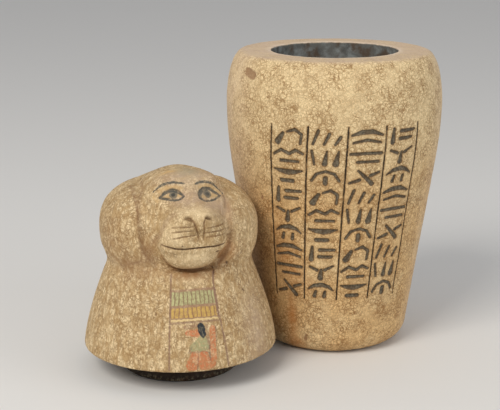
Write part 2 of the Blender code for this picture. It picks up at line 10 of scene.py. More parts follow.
import bpy
import numpy as np
from bpy.props import FloatProperty, FloatVectorProperty, PointerProperty
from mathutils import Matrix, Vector


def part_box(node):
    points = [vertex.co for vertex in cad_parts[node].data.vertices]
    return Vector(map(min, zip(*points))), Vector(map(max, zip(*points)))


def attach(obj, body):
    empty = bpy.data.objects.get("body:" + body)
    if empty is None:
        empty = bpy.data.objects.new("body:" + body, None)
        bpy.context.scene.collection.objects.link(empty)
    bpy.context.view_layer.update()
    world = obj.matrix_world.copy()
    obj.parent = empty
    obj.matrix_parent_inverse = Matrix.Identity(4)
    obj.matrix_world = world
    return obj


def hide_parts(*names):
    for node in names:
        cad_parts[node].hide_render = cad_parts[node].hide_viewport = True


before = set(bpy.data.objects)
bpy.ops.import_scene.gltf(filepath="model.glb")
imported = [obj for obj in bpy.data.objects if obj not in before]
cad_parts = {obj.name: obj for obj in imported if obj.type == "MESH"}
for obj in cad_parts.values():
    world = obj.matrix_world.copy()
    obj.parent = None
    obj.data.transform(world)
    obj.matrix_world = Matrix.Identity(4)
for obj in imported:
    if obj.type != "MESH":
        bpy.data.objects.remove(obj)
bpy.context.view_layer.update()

bl_info = {
    "name": "Canopic jar",
    "version": (1, 0, 0),
    "blender": (4, 5, 0),
    "location": "3D View > Sidebar > Canopic jar",
    "description": "Makes a carved stone jar and its baboon-headed lid",
    "category": "Object",
}

# The jar's size, from the top corner of its box in the imported model
JAR_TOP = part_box("jar_body")[1]

MM = 0.001
FAR = 10.0  # distance kept for places that no line is near, in millimetres
LINE_REACH = 4.0  # how far from a line distances are worked out
WINDOW_MARGIN = 6.0  # how far round a line the part of the grid reaches that is looked at
LATTICE = 32  # corners along each side of a block of noise, which then repeats

# Jar section, in metres
SHOULDER_DROP = 0.042
MOUTH_ROUNDING = 0.0015
CAVITY_CORNER = 0.014
HEEL_RADIUS = 0.0653
HEEL_HEIGHT = 0.018
FOOT_RADIUS = 0.046
STRAIGHT_SHARE = 0.75
FLARE_FINE = (0.048, 0.204)  # heights between which the rows of the mesh are close
CAVITY_FINE = 0.215  # height down to which the rows inside are close

# The jar's mesh: stretches round it in degrees, each with its step
JAR_COLUMNS = ((-180, -68, 2.8), (-68, -50, 1.1), (-50, 49, 0.6), (49, 180, 2.8))
# Steps between its rows: in radians round its corners, and in metres along it
HEEL_TURN, SHOULDER_TURN, LIP_TURN, CORNER_TURN = 0.10, 0.042, 0.35, 0.26
LOWER_STEP, CARVED_STEP, UPPER_STEP = 0.0022, 0.0008, 0.0020
FOOT_STEP, WALL_STEP, FLOOR_STEP = 0.009, 0.009, 0.008
POLE_RADII = (0.010, 0.006)  # of the innermost rings, on the foot and on the cavity's floor
HEEL_START = 0.06  # turn up from the foot at which the heel's first row lies
# Wear of the surfaces: height and size of the waves in metres, and the seed of their noise
JAR_WEAR = ((0.00022, 0.030, 3), (0.00010, 0.009, 4), (0.00007, 0.0032, 5))
CAVITY_WEAR = ((0.00035, 0.007, 6),)
CAVITY_ROWS = 12  # rows of the mesh from the rim's outer edge to the rougher inside
CHIP_DEPTH = 0.0011
FLANK = (2.0, 48.0, 30.0)  # degrees: the front's middle, half its width, and how wide the flank fades in

# Inscription
RULE_COUNT = 5
RULE_SPREAD_TOP = math.radians(81.0)
RULE_SPREAD_FOOT = math.radians(87.0)
RULE_LEAN = math.radians(4.0)
RULE_DROP = 0.050
RULE_FOOT = 0.052
RULE_WIDTH = 0.0013
RULE_POINTS = 9
ROW_COUNT = 9
STROKE_WIDTH = 0.0025
GROUP_WIDTH_SHARE = 0.80
GROUP_HEIGHT_SHARE = 0.74

# Groups of strokes. Each point is across and up, as shares of its group's half size, and then wide,
# as a share of the stroke's width.
ARCH_TURNS = [math.radians(-80.0 + 40.0 * i) for i in range(5)]
STROKE_GROUPS = (
    # A hooked line round a short thick stroke
    (
        ((-0.8, -0.95, 0.9), (-0.85, 0.3, 1), (-0.4, 0.9, 1.1), (0.1, 0.55, 0.8)),
        ((0.4, 0.3, 1.2), (0.75, -0.85, 2.2)),
    ),
    # Two level bars
    (((-1, 0.5, 1.1), (0, 0.55, 1.1), (1, 0.5, 1.1)), ((-0.55, -0.6, 1), (0.85, -0.6, 1))),
    # A full bowl over a thick dash
    (
        ((-1, 0.75, 0.5), (-0.5, 0.55, 1.5), (0, 0.45, 2), (0.5, 0.55, 1.5), (1, 0.75, 0.5)),
        ((-0.35, -0.75, 1.4), (0.45, -0.75, 1.4)),
    ),
    # Leaning ticks that shorten to one side
    [((0.7 * i - 0.9, -0.9, 0.9), (0.7 * i - 0.6, 0.9 - 0.4 * i, 1.1)) for i in range(3)],
    # A stem that swells downwards between two arms
    (
        ((0, 0.35, 0.9), (0.05, -0.9, 1.9)),
        ((-0.85, 0.9, 0.8), (-0.25, 0.3, 1.1)),
        ((0.85, 0.7, 0.8), (0.3, 0.25, 1.1)),
    ),
    # An arch over a short stroke
    (
        [(0.9 * math.sin(turn), 1.6 * math.cos(turn) - 0.75, 1) for turn in ARCH_TURNS],
        ((0, -0.1, 1.6), (0, -0.8, 1.6)),
    ),
    # Two gently bowed lines, the upper one heavier
    (
        ((-1, 0.25, 0.7), (-0.3, 0.75, 1.6), (0.4, 0.7, 1.6), (1, 0.3, 0.8)),
        ((-0.9, -0.75, 0.8), (0, -0.35, 1.1), (0.9, -0.7, 0.8)),
    ),
    # A line of uneven bends over a dash
    (
        ((-1, 0.1, 0.9), (-0.5, 0.75, 1.1), (0.1, 0.3, 1.1), (0.5, 0.85, 1.1), (1, 0.4, 0.8)),
        ((-0.5, -0.7, 1.2), (0.7, -0.7, 0.9)),
    ),
    # A long slanting stroke with a twig on each side
    (
        ((-0.55, -0.95, 1.6), (0.45, 0.95, 0.8)),
        ((-0.95, 0.6, 0.9), (-0.4, 0.2, 1.2)),
        ((0.3, -0.35, 1.2), (0.95, -0.75, 0.9)),
    ),
    # A tall stroke with two short bars at its side
    (
        ((-0.7, 0.9, 1), (-0.75, -0.9, 1.8)),
        ((-0.15, 0.5, 1.3), (0.9, 0.55, 1)),
        ((-0.2, -0.5, 1.3), (0.7, -0.45, 1)),
    ),
    # Two wedges that swell downwards, and a slanting line
    (
        ((-0.75, 0.9, 0.6), (-0.6, -0.8, 2.2)),
        ((0, 0.9, 0.6), (0.1, -0.8, 1.8)),
        ((0.75, -0.9, 0.9), (0.95, 0.9, 0.9)),
    ),
    # A swelling arc over two short ticks
    (
        ((-0.95, 0.1, 0.6), (-0.5, 0.65, 1.3), (0.1, 0.8, 1.7), (0.6, 0.55, 1.2), (0.95, 0, 0.6)),
        ((-0.35, -0.2, 1), (-0.45, -0.9, 1.3)),
        ((0.35, -0.2, 1), (0.3, -0.9, 1.3)),
    ),
)

# Lid, drawn in metres round its own axis, with its seat at height 0 and its face towards -Y
LID_AWAY = 0.14884
LID_BEARING = math.radians(-61.8)
LID_TURN = math.radians(12.2)
TENON_HEIGHT = 0.020
TENON_RADIUS = 0.0477
TENON_CHAMFER = 0.0020
SEAT_RADIUS = 0.0788
SEAT_ROUNDING = 0.0015
NECK_RADIUS = 0.0568
NECK_HEIGHT = 0.074
BELL_CURVE = 1.4
RAY_CENTRE_HEIGHT = 0.104
RAY_REACH = 0.1474
RAY_HALVINGS = 20
LAID_STEP, FINE_LAID_STEP = 1.5, 1.0  # millimetres between the points of lines that are laid on the face
NORMAL_STEP = 0.0006  # how far to each side of a point its normal is felt for

# Each form of the head: centre, radii, squareness, and the share by which its top is narrower
MANE = ((0.0, 0.003, 0.0965), (0.0632, 0.0570, 0.0410), 2.5, 0.0)
CROWN = ((0.0, -0.002, 0.1155), (0.0300, 0.0400, 0.0310), 2.0, 0.0)
FACE = ((0.0, -0.013, 0.1120), (0.0390, 0.0375, 0.0340), 2.5, 0.0)
# The forms of the face, each with the width of the fillet that joins it
FACE_FORMS = (
    (((0.0, -0.030, 0.1400), (0.0230, 0.0135, 0.0060), 2.0, 0.0), 0.008),  # brow
    (((0.0, -0.038, 0.1200), (0.0125, 0.0320, 0.0100), 2.3, 0.1), 0.009),  # bridge
    (((0.0, -0.041, 0.1065), (0.0262, 0.0290, 0.0205), 3.2, 0.15), 0.007),  # muzzle
    (((0.0, -0.0545, 0.1165), (0.0172, 0.0193, 0.0110), 2.6, 0.1), 0.003),  # nose
    (((-0.0010, -0.0395, 0.0905), (0.0240, 0.0272, 0.0165), 2.3, 0.0), 0.003),  # jaw
)
CROWN_BLEND = 0.012
NECK_BLEND = 0.006
FACE_BLEND = 0.003

# The mane is cut back inside an oval, seen from the front, and a groove follows the oval's sides.
OVAL_CENTRE = 0.1090
OVAL_HALF_WIDTHS = (0.0395, 0.0315)  # towards -X and towards +X
OVAL_HEIGHT = 0.0370
OVAL_SQUARENESS = 2.6
RECESS_DEPTH = 0.0040
RECESS_EDGE = 1.05  # where the recess starts, as a share of the oval, and how wide its slope is
RECESS_SLOPE = 0.15
OVAL_SWEEP = (math.radians(-52.0), math.radians(50.0))
GROOVE_POINTS = 24
GROOVE_WIDTHS = (0.4, 2.2)  # at the groove's ends, and what its middle adds to that
GROOVE_SWELL = 0.7

# The lid's mesh: stretches round it and up its fan of rays in degrees, and up its level rays in metres
LID_COLUMNS = ((-180, -88, 3.0), (-88, -52, 1.4), (-52, 52, 0.58), (52, 88, 1.4), (88, 180, 3.0))
LID_TILTS = ((0.0, 54.0, 0.62), (54.0, 88.5, 1.9))
LID_LEVELS = ((SEAT_ROUNDING, 0.070, 0.0010), (0.070, RAY_CENTRE_HEIGHT, 0.0007))
SEAT_TURN = 0.4
TENON_FOOT_STEP, TENON_SIDE_STEP, SEAT_STEP = 0.010, 0.0018, 0.0040
LID_WEAR = ((0.00030, 0.022, 11), (0.00013, 0.008, 12), (0.00009, 0.0030, 13))
TENON_WEAR = ((0.0007, 0.006, 21), (0.0004, 0.0025, 22))
ROUGH_FROM_SEAT = 0.001  # how far below the seat the tenon's rough side starts
EDGE_FROM_TENON = 0.004  # how far out from the tenon the seat's worn edge starts
EDGE_WEAR_SHARE = 0.5

# Lines of the face, seen from the front: across and up in millimetres, then the line's width
FACE_LINES = {
    # The lines of the cheeks
    "whiskers": (
        ((-3.2, 114.8, 0.5), (-11.6, 114.1, 1), (-18.4, 113, 0.5)),
        ((-2.4, 111.4, 0.5), (-11.8, 110.4, 1), (-18.8, 109.2, 0.5)),
        ((-0.6, 107.2, 0.5), (-9.9, 106.2, 1), (-17.9, 104.6, 0.5)),
        ((7, 113, 0.5), (15.6, 112.7, 1), (24.4, 112.2, 0.5)),
        ((6.8, 108.9, 0.5), (15.6, 108.7, 1), (24.8, 108.5, 0.5)),
        ((7.6, 105, 0.5), (15.5, 105.1, 0.9), (24.4, 104.9, 0.5)),
    ),
    # The lines down the muzzle's middle
    "lips": (
        ((-3.4, 119.8, 1.2), (-2.7, 117.4, 1.3), (-1, 113, 1.3), (0.9, 107.4, 1.2), (1.8, 102.2, 0.6)),
        ((6.4, 121.4, 0.6), (5.2, 118, 1.1), (5.2, 113, 1), (5.5, 107.6, 0.9), (5.4, 102.6, 0.5)),
    ),
    "mouth_line": (
        (
            (-25.6, 98.2, 0.5), (-20.4, 97.2, 1.1), (-15.4, 96.2, 1.3), (-9.4, 95.7, 1.3), (-3, 95.9, 1.2),
            (3, 96.3, 1.2), (9.5, 96.5, 1.2), (16.3, 96.5, 1.1), (21.6, 96.8, 1), (24.8, 97.4, 0.5),
        ),
    ),
    "nostrils": (
        ((-10.4, 120.4, 1), (-8.4, 121.4, 3.4), (-6, 121, 4.8), (-4.6, 119.4, 3)),
        ((7, 120.8, 1.6), (8.8, 120.8, 3.8), (11, 119.6, 3.2), (13.2, 117.8, 0.9)),
    ),
    "brows": (
        (
            (-27, 134.2, 0.8), (-22.4, 138.9, 1.8), (-17.6, 141.6, 2.2), (-12, 142.7, 2.2),
            (-4.1, 141.8, 1.4),
        ),
        ((4.8, 140.9, 1.4), (9.1, 142.1, 2.3), (14, 141.9, 2.2), (19.7, 139.3, 1.8), (28.6, 130.6, 0.8)),
    ),
    "under_brows": (
        ((-23.4, 134.6, 1.4), (-18.4, 138.4, 2), (-12.5, 139.6, 2.2), (-6, 138.2, 1.6)),
        ((7.4, 138.6, 1), (12.4, 139.4, 1.8), (18.4, 137, 2), (25.4, 131.4, 1.4)),
        ((-27.4, 131, 1.6), (-24.8, 128.4, 1.8)),
    ),
    "eye_lines": (
        (
            (-22.9, 130.9, 1.8), (-18.9, 134.6, 2.6), (-13.8, 137, 2.7), (-9.2, 135.9, 2.5),
            (-5.2, 132.6, 1.6),
        ),
        (
            (-5.2, 132.6, 1.6), (-8.4, 130.7, 1.6), (-12.5, 129.8, 1.9), (-17.5, 130.1, 1.9),
            (-22.9, 130.9, 1.8),
        ),
        ((7.4, 130.9, 2.4), (7.6, 134.2, 3.2), (11.2, 136.7, 3.2), (16.4, 136.2, 2.6), (25, 129.9, 1.6)),
        ((7.4, 130.9, 2.4), (10.6, 128.9, 1.8), (15, 128, 1.6), (20, 128, 1.5), (25, 129.9, 1.6)),
    ),
    "irises": (
        ((-12.9, 133.3, 6.2), (-12.7, 133.3, 6.2)),
        ((13.6, 132.6, 6.2), (13.9, 132.5, 6.2)),
    ),
    "spots": (
        ((17.4, 91.2, 2.6), (18.4, 90.4, 2)),
        ((-10.8, 98.6, 1), (-10.7, 98.2, 1)),
        ((28.2, 77.6, 1.6), (28.9, 76.8, 1.8)),
        ((41, 54.8, 1.4), (41.7, 54, 1.6)),
        ((-31, 44, 0.9), (-30.9, 43.4, 0.9)),
        ((33.5, 26, 0.9), (33.6, 25.6, 0.9)),
        ((16.5, 75.4, 0.9), (16.2, 70.8, 0.7)),
    ),
    # The fold under the jaw, cut in and darkened with painted shade
    "jaw_crease": (
        (
            (-22.6, 85, 1), (-19, 80.4, 1.6), (-14, 76.8, 2.2), (-7, 74.7, 2.6), (0, 74.2, 3),
            (7, 75, 3.2), (13, 77.4, 3.2), (17.5, 80.8, 3), (21, 85.4, 2.6), (23.2, 91.5, 1.6),
        ),
    ),
    # The soft edge of the muzzle's left side, cut in a little and darkened with painted shade
    "muzzle_edge": (
        (
            (-15, 122.5, 1), (-20.5, 118, 2), (-24, 111, 3), (-26, 104, 3.2),
            (-28.5, 97, 1.5),
        ),
    ),
    # From the left groove on up, over the mane to the crown, cut in and darkened with painted shade
    "mane_line": (
        (
            (-39.6, 114, 0.8), (-40, 124, 1.6), (-39.4, 130, 1.7), (-38.2, 135.6, 1.6),
            (-36.4, 141, 1.4), (-33.8, 145.7, 0.9), (-30, 149, 0.4),
        ),
    ),
}
EYES = (
    ((-18.6, 132, 1), (-13, 133.2, 4.6), (-7.2, 132.8, 1.2)),
    ((9.4, 131.4, 2), (14.6, 131.8, 4.8), (22.2, 130.2, 1)),
)

# How lines cut into the lid: where the slope starts and how wide it is in millimetres, and the depth in
# metres, which is less than nothing where the surface swells
LID_CUTS = {
    "mouth_line": (2.6, 2.6, 0.0004),
    "brows": (0.3, 0.8, 0.0005),
    "eye_lines": (0.3, 0.8, 0.0006),
    "eye_whites": (0.4, 2.8, -0.0010),
    "face_groove": (1.6, 3.2, 0.0008),
    "spots": (0.3, 1, 0.0009),
    "panel_lines": (0.3, 0.7, 0.0006),
    "jaw_crease": (0.8, 1.6, 0.0009),
    "muzzle_edge": (1.4, 2.8, 0.0007),
    "shoulder_creases": (0.5, 1.6, 0.0004),
}
HOLLOW_CUT = (6, 8, 0.0017)
NOSTRIL_RIM = (3.4, 2, 0.0006)
LIP_DEPTH_SHARE = 1.3
LIP_INSET = 0.1  # how much finer the lips' colour is than their cut

# Soft spots of colour on the lid: strength, centre and spread along each axis in millimetres
LID_STAINS = {
    "wash": (
        (1, (-2, -50, 131), (15, 16, 7)),
        (0.8, (17, -54, 125), (11, 14, 8)),
        (0.8, (26, -38, 118), (8, 14, 14)),
        (1, (0, -34, 145), (25, 16, 6.5)),
        (0.8, (50, -52, 20), (12, 20, 34)),
    ),
    # Painted shadow under the chin and in the gap beside the jaw's right side
    "painted_chin_shadow": (
        (1, (0, -60, 73), (22, 16, 5)),
        (0.8, (24, -48, 82), (5, 12, 7)),
    ),
    # Painted light: lighter spots on the muzzle, the chin, the neck and the mane's right side, which the jar
    # shades
    "lit": (
        (1, (1, -68, 123.5), (16, 10, 5)),
        (1, (2, -64, 88), (19, 14, 8)),
        (1, (-15, -62, 106), (10, 12, 10)),
        (0.45, (54, -30, 102), (12, 20, 20)),
        (0.40, (0, -54, 68.5), (14, 14, 4)),
    ),
    "smudge": ((1, (10.5, -45, 133.6), (5.5, 8, 3.6)),),
    "crown_patch": ((1, (1.5, -22, 148), (10, 16, 9)),),
    "yellow_patch": ((1, (-13, -20, 146), (9, 7, 3.5)),),
    "orange_patch": ((1, (28, -46, 88), (8, 14, 8)),),
    "brown_patch": (
        (1, (-44, -36, 76), (18, 18, 9)),
        (0.6, (-54, -20, 96), (14, 22, 16)),
        (0.8, (-34, -44, 92), (6, 14, 10)),
        (0.7, (60, 20, 70), (26, 34, 40)),
    ),
}

# Faint creases where the mane meets the shoulders, darkened with painted shade: across, back and up in
# millimetres, then width
SHOULDER_CREASES = (
    ((-51.8, -28.9, 75.6, 0.6), (-39.4, -43.9, 81.6, 1.4), (-26.2, -45.9, 84.4, 0.6)),
    ((26.6, -45.8, 83.7, 0.6), (34, -45.6, 83.4, 1.2), (41.9, -42.9, 83.1, 0.6)),
)

UNDER_TOP = 95.0  # height inside the lid from which lines are laid on its top
# Hollows over the top where the crown rises out of the mane: across, back and wide in millimetres
CROWN_HOLLOWS = (
    ((-33, -26, 0.5), (-33.5, -14, 3), (-33.5, 0, 4), (-33, 14, 3), (-32, 26, 1)),
    ((32.5, -26, 0.5), (32.5, -14, 3), (32.5, 0, 4), (32.5, 14, 3), (31.5, 26, 1)),
)

# The chest panel: heights in millimetres and angles in degrees of its right rule, and its bands
LEFT_RULE_ANGLE = -17.6
RIGHT_RULE_HEIGHTS = (0, 26, 44, 66, 75)
RIGHT_RULE_ANGLES = (17.4, 16, 14.7, 14.7, 16.6)
BAR_COUNT = 11
GREEN_BAND = (50.3, 60)
OCHRE_BAND = (41, 48.4)
STRIP_LINE = 38.0
PANEL_SAG = 0.9  # how far the panel's level lines hang lower at its sides
PANEL_LIFT = 0.4  # how far up its bands are shifted
PANEL_HALF_ANGLE = 17.0  # where they do so in full
PANEL_RULE_ENDS = (1.5, 74)
PANEL_RULE_WIDTH = 0.9
PANEL_RULE_POINTS = 20
STRIP_LINE_WIDTH = 0.7
STRIP_LINE_POINTS = 9
STRIP_LINE_INSET = 0.6

# The painted figure on the panel: across and up from the panel's middle in millimetres, then width
FIGURE = {
    "mauve_paint": (
        ((-9.8, 34.4, 2.6), (-1, 35.2, 3.8)),
        ((6.6, 35.4, 1.8), (6.6, 24, 2.4), (7.4, 8, 1.4)),
        ((-8, 15.6, 1.6), (6, 15.2, 2)),
    ),
    "red_paint": (
        ((-8, 30.2, 4.4), (-1.4, 29.8, 6)),
        ((-4, 12, 7.4), (-5, 8.4, 9.2), (-6.2, 5.2, 9.2)),
        ((3, 12, 7.8), (3.2, 8.4, 10), (3.8, 5.2, 9.6)),
        ((11.4, 32.6, 4.4), (11.2, 26, 5.4), (11, 18, 5.2), (11.4, 10, 5.2), (9.2, 5.2, 6.4)),
    ),
    "green_paint": (
        ((1.8, 25.2, 4), (-4.4, 19.2, 5.8)),
        ((2.6, 24.8, 5.6), (0.6, 19.4, 6.6)),
        ((4, 24.4, 4.6), (4.8, 19.2, 5.6)),
    ),
    "dark_paint": (((2, 34.6, 5.2), (2.6, 31.4, 6.2), (3.4, 28.2, 4.6)),),
    "ink": (
        ((-1.2, 14, 0.7), (-1.6, 8, 0.9), (-2.2, 1.8, 0.9)),
        ((8.4, 26, 0.8), (8.1, 15, 1.2), (8.6, 7.2, 0.9)),
        ((14.3, 33, 0.5), (14.1, 22, 0.6), (14.6, 9, 0.5)),
        ((-9.4, 15, 0.6), (-3.2, 22.4, 0.6)),
    ),
}

# Chips and nicks of the jar: angle in degrees and height in millimetres, then width
JAR_CHIPS = (
    ((-59.6, 238.4, 6.2), (-53.8, 236, 6.6)),
    ((-49.3, 138.2, 1), (-49, 135.2, 2.2)),
    ((-24.1, 17.6, 2), (-24.2, 14, 2.6)),
    ((-0.3, 32.6, 1), (-0.2, 32.2, 1)),
    ((14, 2, 1.6), (17, 1.8, 2)),
)
# Broad stains, and in the second table also painted shade where the jar faces the lid: angle, height, spread
# across and up in millimetres, strength
IRON_STAINS = (
    (-31, 74, 10, 11, 0.52),
    (-36.5, 92, 11, 13, 0.46),
    (-33.8, 28, 4.5, 22, 0.72),
    (-32.7, 8, 8, 8, 0.78),
    (-40, 112, 7, 16, 0.26),
    (-24, 66, 10, 8, 0.28),
)
# Brown stains, and at -43 to -62 degrees, where the jar faces the lid, painted shade from the lid
BROWN_STAINS_AND_LID_SHADE = (
    (-53, 92, 12, 26, 0.28),
    (-53, 60, 13, 20, 0.26),
    (-43, 38, 13, 18, 0.40),
    (-52, 16, 14, 14, 0.60),
    (-62, 130, 12, 30, 0.36),
    (30, 38, 12, 7, 0.28),
    (2, 205, 9, 12, 0.14),
)


# The stage: each light's place, size and tint, where they all look, and the camera
LIGHTS = {
    "key": ((-1.15, -1.55, 1.75), 1.1, (1.0, 0.97, 0.92)),
    "fill": ((1.70, -0.90, 0.80), 1.4, (0.94, 0.97, 1.0)),
}
LIGHT_TARGET = (-0.05, -0.03, 0.12)
WORLD_TINT = (0.96, 0.97, 1.0, 1.0)
CAMERA_PLACE = (-0.1096, -1.0998, 0.3907)
CAMERA_PITCH, CAMERA_TURN = 0.24481, math.radians(2.0)
LENS, SENSOR_WIDTH = 94.53, 36.0


def tone(red, green, blue):
    """A colour as seen on a screen, from 0 to 255, as the linear light that a material takes."""
    seen = np.array((red, green, blue)) / 255.0
    return tuple(float(v) for v in np.where(seen < 0.04045, seen / 12.92, ((seen + 0.055) / 1.055) ** 2.4))


def amount(name, description, default, **more):
    """A number that a user can change."""
    return FloatProperty(name=name, description=description, default=default, min=0.0, **more)


def length(name, description, default):
    """A size that a user can change."""
    return amount(name, description, default, unit="LENGTH", precision=4)


def colour(name, description, seen):
    """A colour that a user can change."""
    return FloatVectorProperty(
        name=name, description=description, default=tone(*seen), size=3, min=0.0, max=1.0, subtype="COLOR"
    )


class JarSettings(bpy.types.PropertyGroup):
    """Sizes and colours of the jar."""

    height: length("Height", "From the foot to the rim", JAR_TOP.z)
    belly: length("Belly radius", "Radius at the widest place", JAR_TOP.x)
    rim: length("Rim radius", "Outer radius of the flat rim", 0.0775)
    mouth: length("Mouth radius", "Radius of the mouth", 0.0534)
    wall: length("Wall", "Least thickness of the wall", 0.026)
    floor: length("Floor", "Thickness of the floor", 0.028)
    stroke_depth: length("Stroke depth", "How deep the strokes are cut", 0.0012)
    rule_depth: length("Rule depth", "How deep the upright rules are cut", 0.0011)
    pale: colour("Pale stone", "Colour between the veins", (236, 210, 162))
    vein: colour("Veins", "Colour of the fine network in the stone", (144, 106, 60))
    warm: colour("Warm stone", "Colour of the yellower lower part", (230, 190, 124))
    dusty: colour("Dusty stone", "Colour of the flanks and the rim", (210, 184, 158))
    fill: colour("Stroke fill", "Colour in the strokes", (78, 70, 58))
    stain: colour("Iron stain", "Colour of the rusty stain", (182, 112, 48))
    # The brown patches' colour, also used for the painted shade where the jar faces the lid
    shade: colour("Brown stain", "Colour of the brown patches", (132, 94, 50))
    inside: colour("Inside", "Colour of the stained inside", (102, 101, 96))


class LidSettings(bpy.types.PropertyGroup):
    """Sizes and colours of the lid."""

    line_depth: length("Line depth", "How deep the fine lines are cut", 0.0008)
    mouth_depth: length("Mouth depth", "How deep the mouth is cut", 0.0016)
    nostril_depth: length("Nostril depth", "How deep the nostrils are cut", 0.0030)
    pale: colour("Pale stone", "Colour of the pale blotches", (238, 212, 166))
    vein: colour("Veins", "Colour of the brown between the blotches", (142, 110, 70))
    wash: colour("Wash", "Colour of the purple-grey wash", (190, 164, 140))
    crown: colour("Crown patch", "Colour of the greenish patch at the crown", (170, 158, 128))
    brow: colour("Brow paint", "Colour of the brows and eye outlines", (78, 78, 71))
    eye: colour("Eye paint", "Colour of the whites of the eyes", (198, 166, 118))
    green: colour("Green paint", "Colour of the green bars", (188, 183, 132))
    ochre: colour("Ochre paint", "Colour of the yellow bars", (204, 168, 92))
    red: colour("Red paint", "Colour of the red parts of the figure", (197, 117, 75))
    mauve: colour("Mauve paint", "Colour of the panel's edging", (150, 116, 92))
    dark: colour("Dark paint", "Colour of the dark parts of the figure", (50, 52, 54))
    tenon: colour("Tenon", "Colour of the stained tenon", (48, 35, 25))


class StageSettings(bpy.types.PropertyGroup):
    """The floor and the lights."""

    floor_colour: colour("Floor", "Colour of the floor", (228, 226, 222))
    floor_size: length("Floor size", "Length of the floor's sides", 16.0)
    key_power: amount("Key light", "Power of the main light", 37.0, unit="POWER")
    fill_power: amount("Fill light", "Power of the soft light", 10.5, unit="POWER")
    world_light: amount("World light", "Strength of the light all round", 0.46)


# Shapes


def eased(value):
    """0 below 0, 1 above 1, and between them three times the square less twice the cube."""
    value = np.clip(value, 0.0, 1.0)
    return value * value * (3.0 - 2.0 * value)


def spread(points, centre, radii):
    """A soft spot: e to the minus the sum of the squares of each axis over its radius."""
    return np.exp(-np.sum(((points - np.array(centre)) / np.array(radii)) ** 2, axis=-1))


def value_noise(points, cell, seed):
    """Random values from -1 to 1 at the corners of cubes, eased from corner to corner inside each cube."""
    lattice = np.random.default_rng(seed).uniform(-1.0, 1.0, (LATTICE, LATTICE, LATTICE))
    place = points / cell
    corner = np.floor(place).astype(int)
    share = eased(place - corner)
    total = np.zeros(points.shape[:-1])
    for step in np.ndindex(2, 2, 2):
        weight = np.prod(np.where(step, share, 1.0 - share), axis=-1)
        x, y, z = np.moveaxis((corner + step) % LATTICE, -1, 0)
        total += weight * lattice[x, y, z]
    return total


def worn(points, waves):
    """Waves of noise on top of each other, each with its height, size and seed."""
    return sum(height * value_noise(points, size, seed) for height, size, seed in waves)


def cut_in(relief, cuts):
    """Lowers a relief along lines: a distance, where its slope starts, the slope's width, and the depth."""
    for distance, start, slope, depth in cuts:
        relief -= depth * eased((start - distance) / slope)


def line_distance(points, line):
    """Distance from each point to a bent line, less half the line's width there, both in millimetres.

    Each row of the line holds a place and then a width. Within a segment the nearest place is the
    point's projection on it, kept between its ends, and the width runs evenly from end to end.
    """
    line = np.asarray(line, float)
    places, widths = line[:, :-1], line[:, -1]
    margin = LINE_REACH + widths.max()
    close = np.all((points > places.min(axis=0) - margin) & (points < places.max(axis=0) + margin), axis=-1)
    near = points[close]
    nearest = np.full(len(near), FAR)
    for start, end, first, last in zip(places, places[1:], widths, widths[1:]):
        along = end - start
        share = np.clip((near - start) @ along / (along @ along), 0.0, 1.0)
        gap = np.linalg.norm(near - start - share[:, None] * along, axis=-1)
        nearest = np.minimum(nearest, gap - (first + (last - first) * share) / 2.0)
    distance = np.full(points.shape[:-1], FAR)
    distance[close] = nearest
    return distance


def nearest_of(points, lines):
    """The least distance to any of some lines."""
    distance = np.full(points.shape[:-1], FAR)
    for line in lines:
        distance = np.minimum(distance, line_distance(points, line))
    return distance


def ring_mesh(name, rings, first_pole, last_pole, attributes):
    """A closed surface: quads between neighbouring rings, closed round, and a fan to a pole at each end."""
    rows, columns = rings.shape[:2]
    index = np.arange(rows * columns).reshape(rows, columns)
    beside = np.roll(index, -1, axis=1)
    quads = np.stack([index[:-1], beside[:-1], beside[1:], index[1:]], axis=-1).reshape(-1, 4)
    first = np.stack([np.full(columns, rows * columns), beside[0], index[0]], axis=-1)
    last = np.stack([np.full(columns, rows * columns + 1), index[-1], beside[-1]], axis=-1)
    corners = np.concatenate([quads.ravel(), first.ravel(), last.ravel()])
    starts = np.concatenate([np.arange(len(quads)) * 4, quads.size + np.arange(2 * columns) * 3])
    points = np.concatenate([rings.reshape(-1, 3), [first_pole, last_pole]])
    mesh = bpy.data.meshes.new(name)
    mesh.vertices.add(len(points))
    mesh.vertices.foreach_set("co", points.ravel())
    mesh.loops.add(len(corners))
    mesh.loops.foreach_set("vertex_index", corners)
    mesh.polygons.add(len(starts))
    mesh.polygons.foreach_set("loop_start", starts)
    mesh.update(calc_edges=True)
    mesh.shade_smooth()
    for label, values in attributes.items():
        layer = mesh.attributes.new(label, "FLOAT", "POINT")
        ends = [values[0].mean(), values[-1].mean()]
        layer.data.foreach_set("value", np.concatenate([values.ravel(), ends]).astype(np.float32))
    return mesh


def add_piece(name, mesh, material, node):
    """Puts a piece into the scene in the place of a CAD node."""
    mesh.materials.append(material)
    piece = bpy.data.objects.new(name, mesh)
    bpy.context.scene.collection.objects.link(piece)
    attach(piece, "root")
    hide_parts(node)
    return piece


def fine_steps(*stretches):
    """Values along stretches, each from its start to its end about a step apart, without the last end."""
    values = []
    for start, end, step in stretches:
        values.append(np.linspace(start, end, max(1, round(abs(end - start) / step)), endpoint=False))
    return np.concatenate(values)


def ring_points(angles, radius, height):
    """Points round the axis by their angle from the front, with a row for each radius and height."""
    radius, height = radius[:, None], height[:, None] + 0 * angles
    return np.stack([radius * np.sin(angles), -radius * np.cos(angles), height], axis=-1)


# Jar


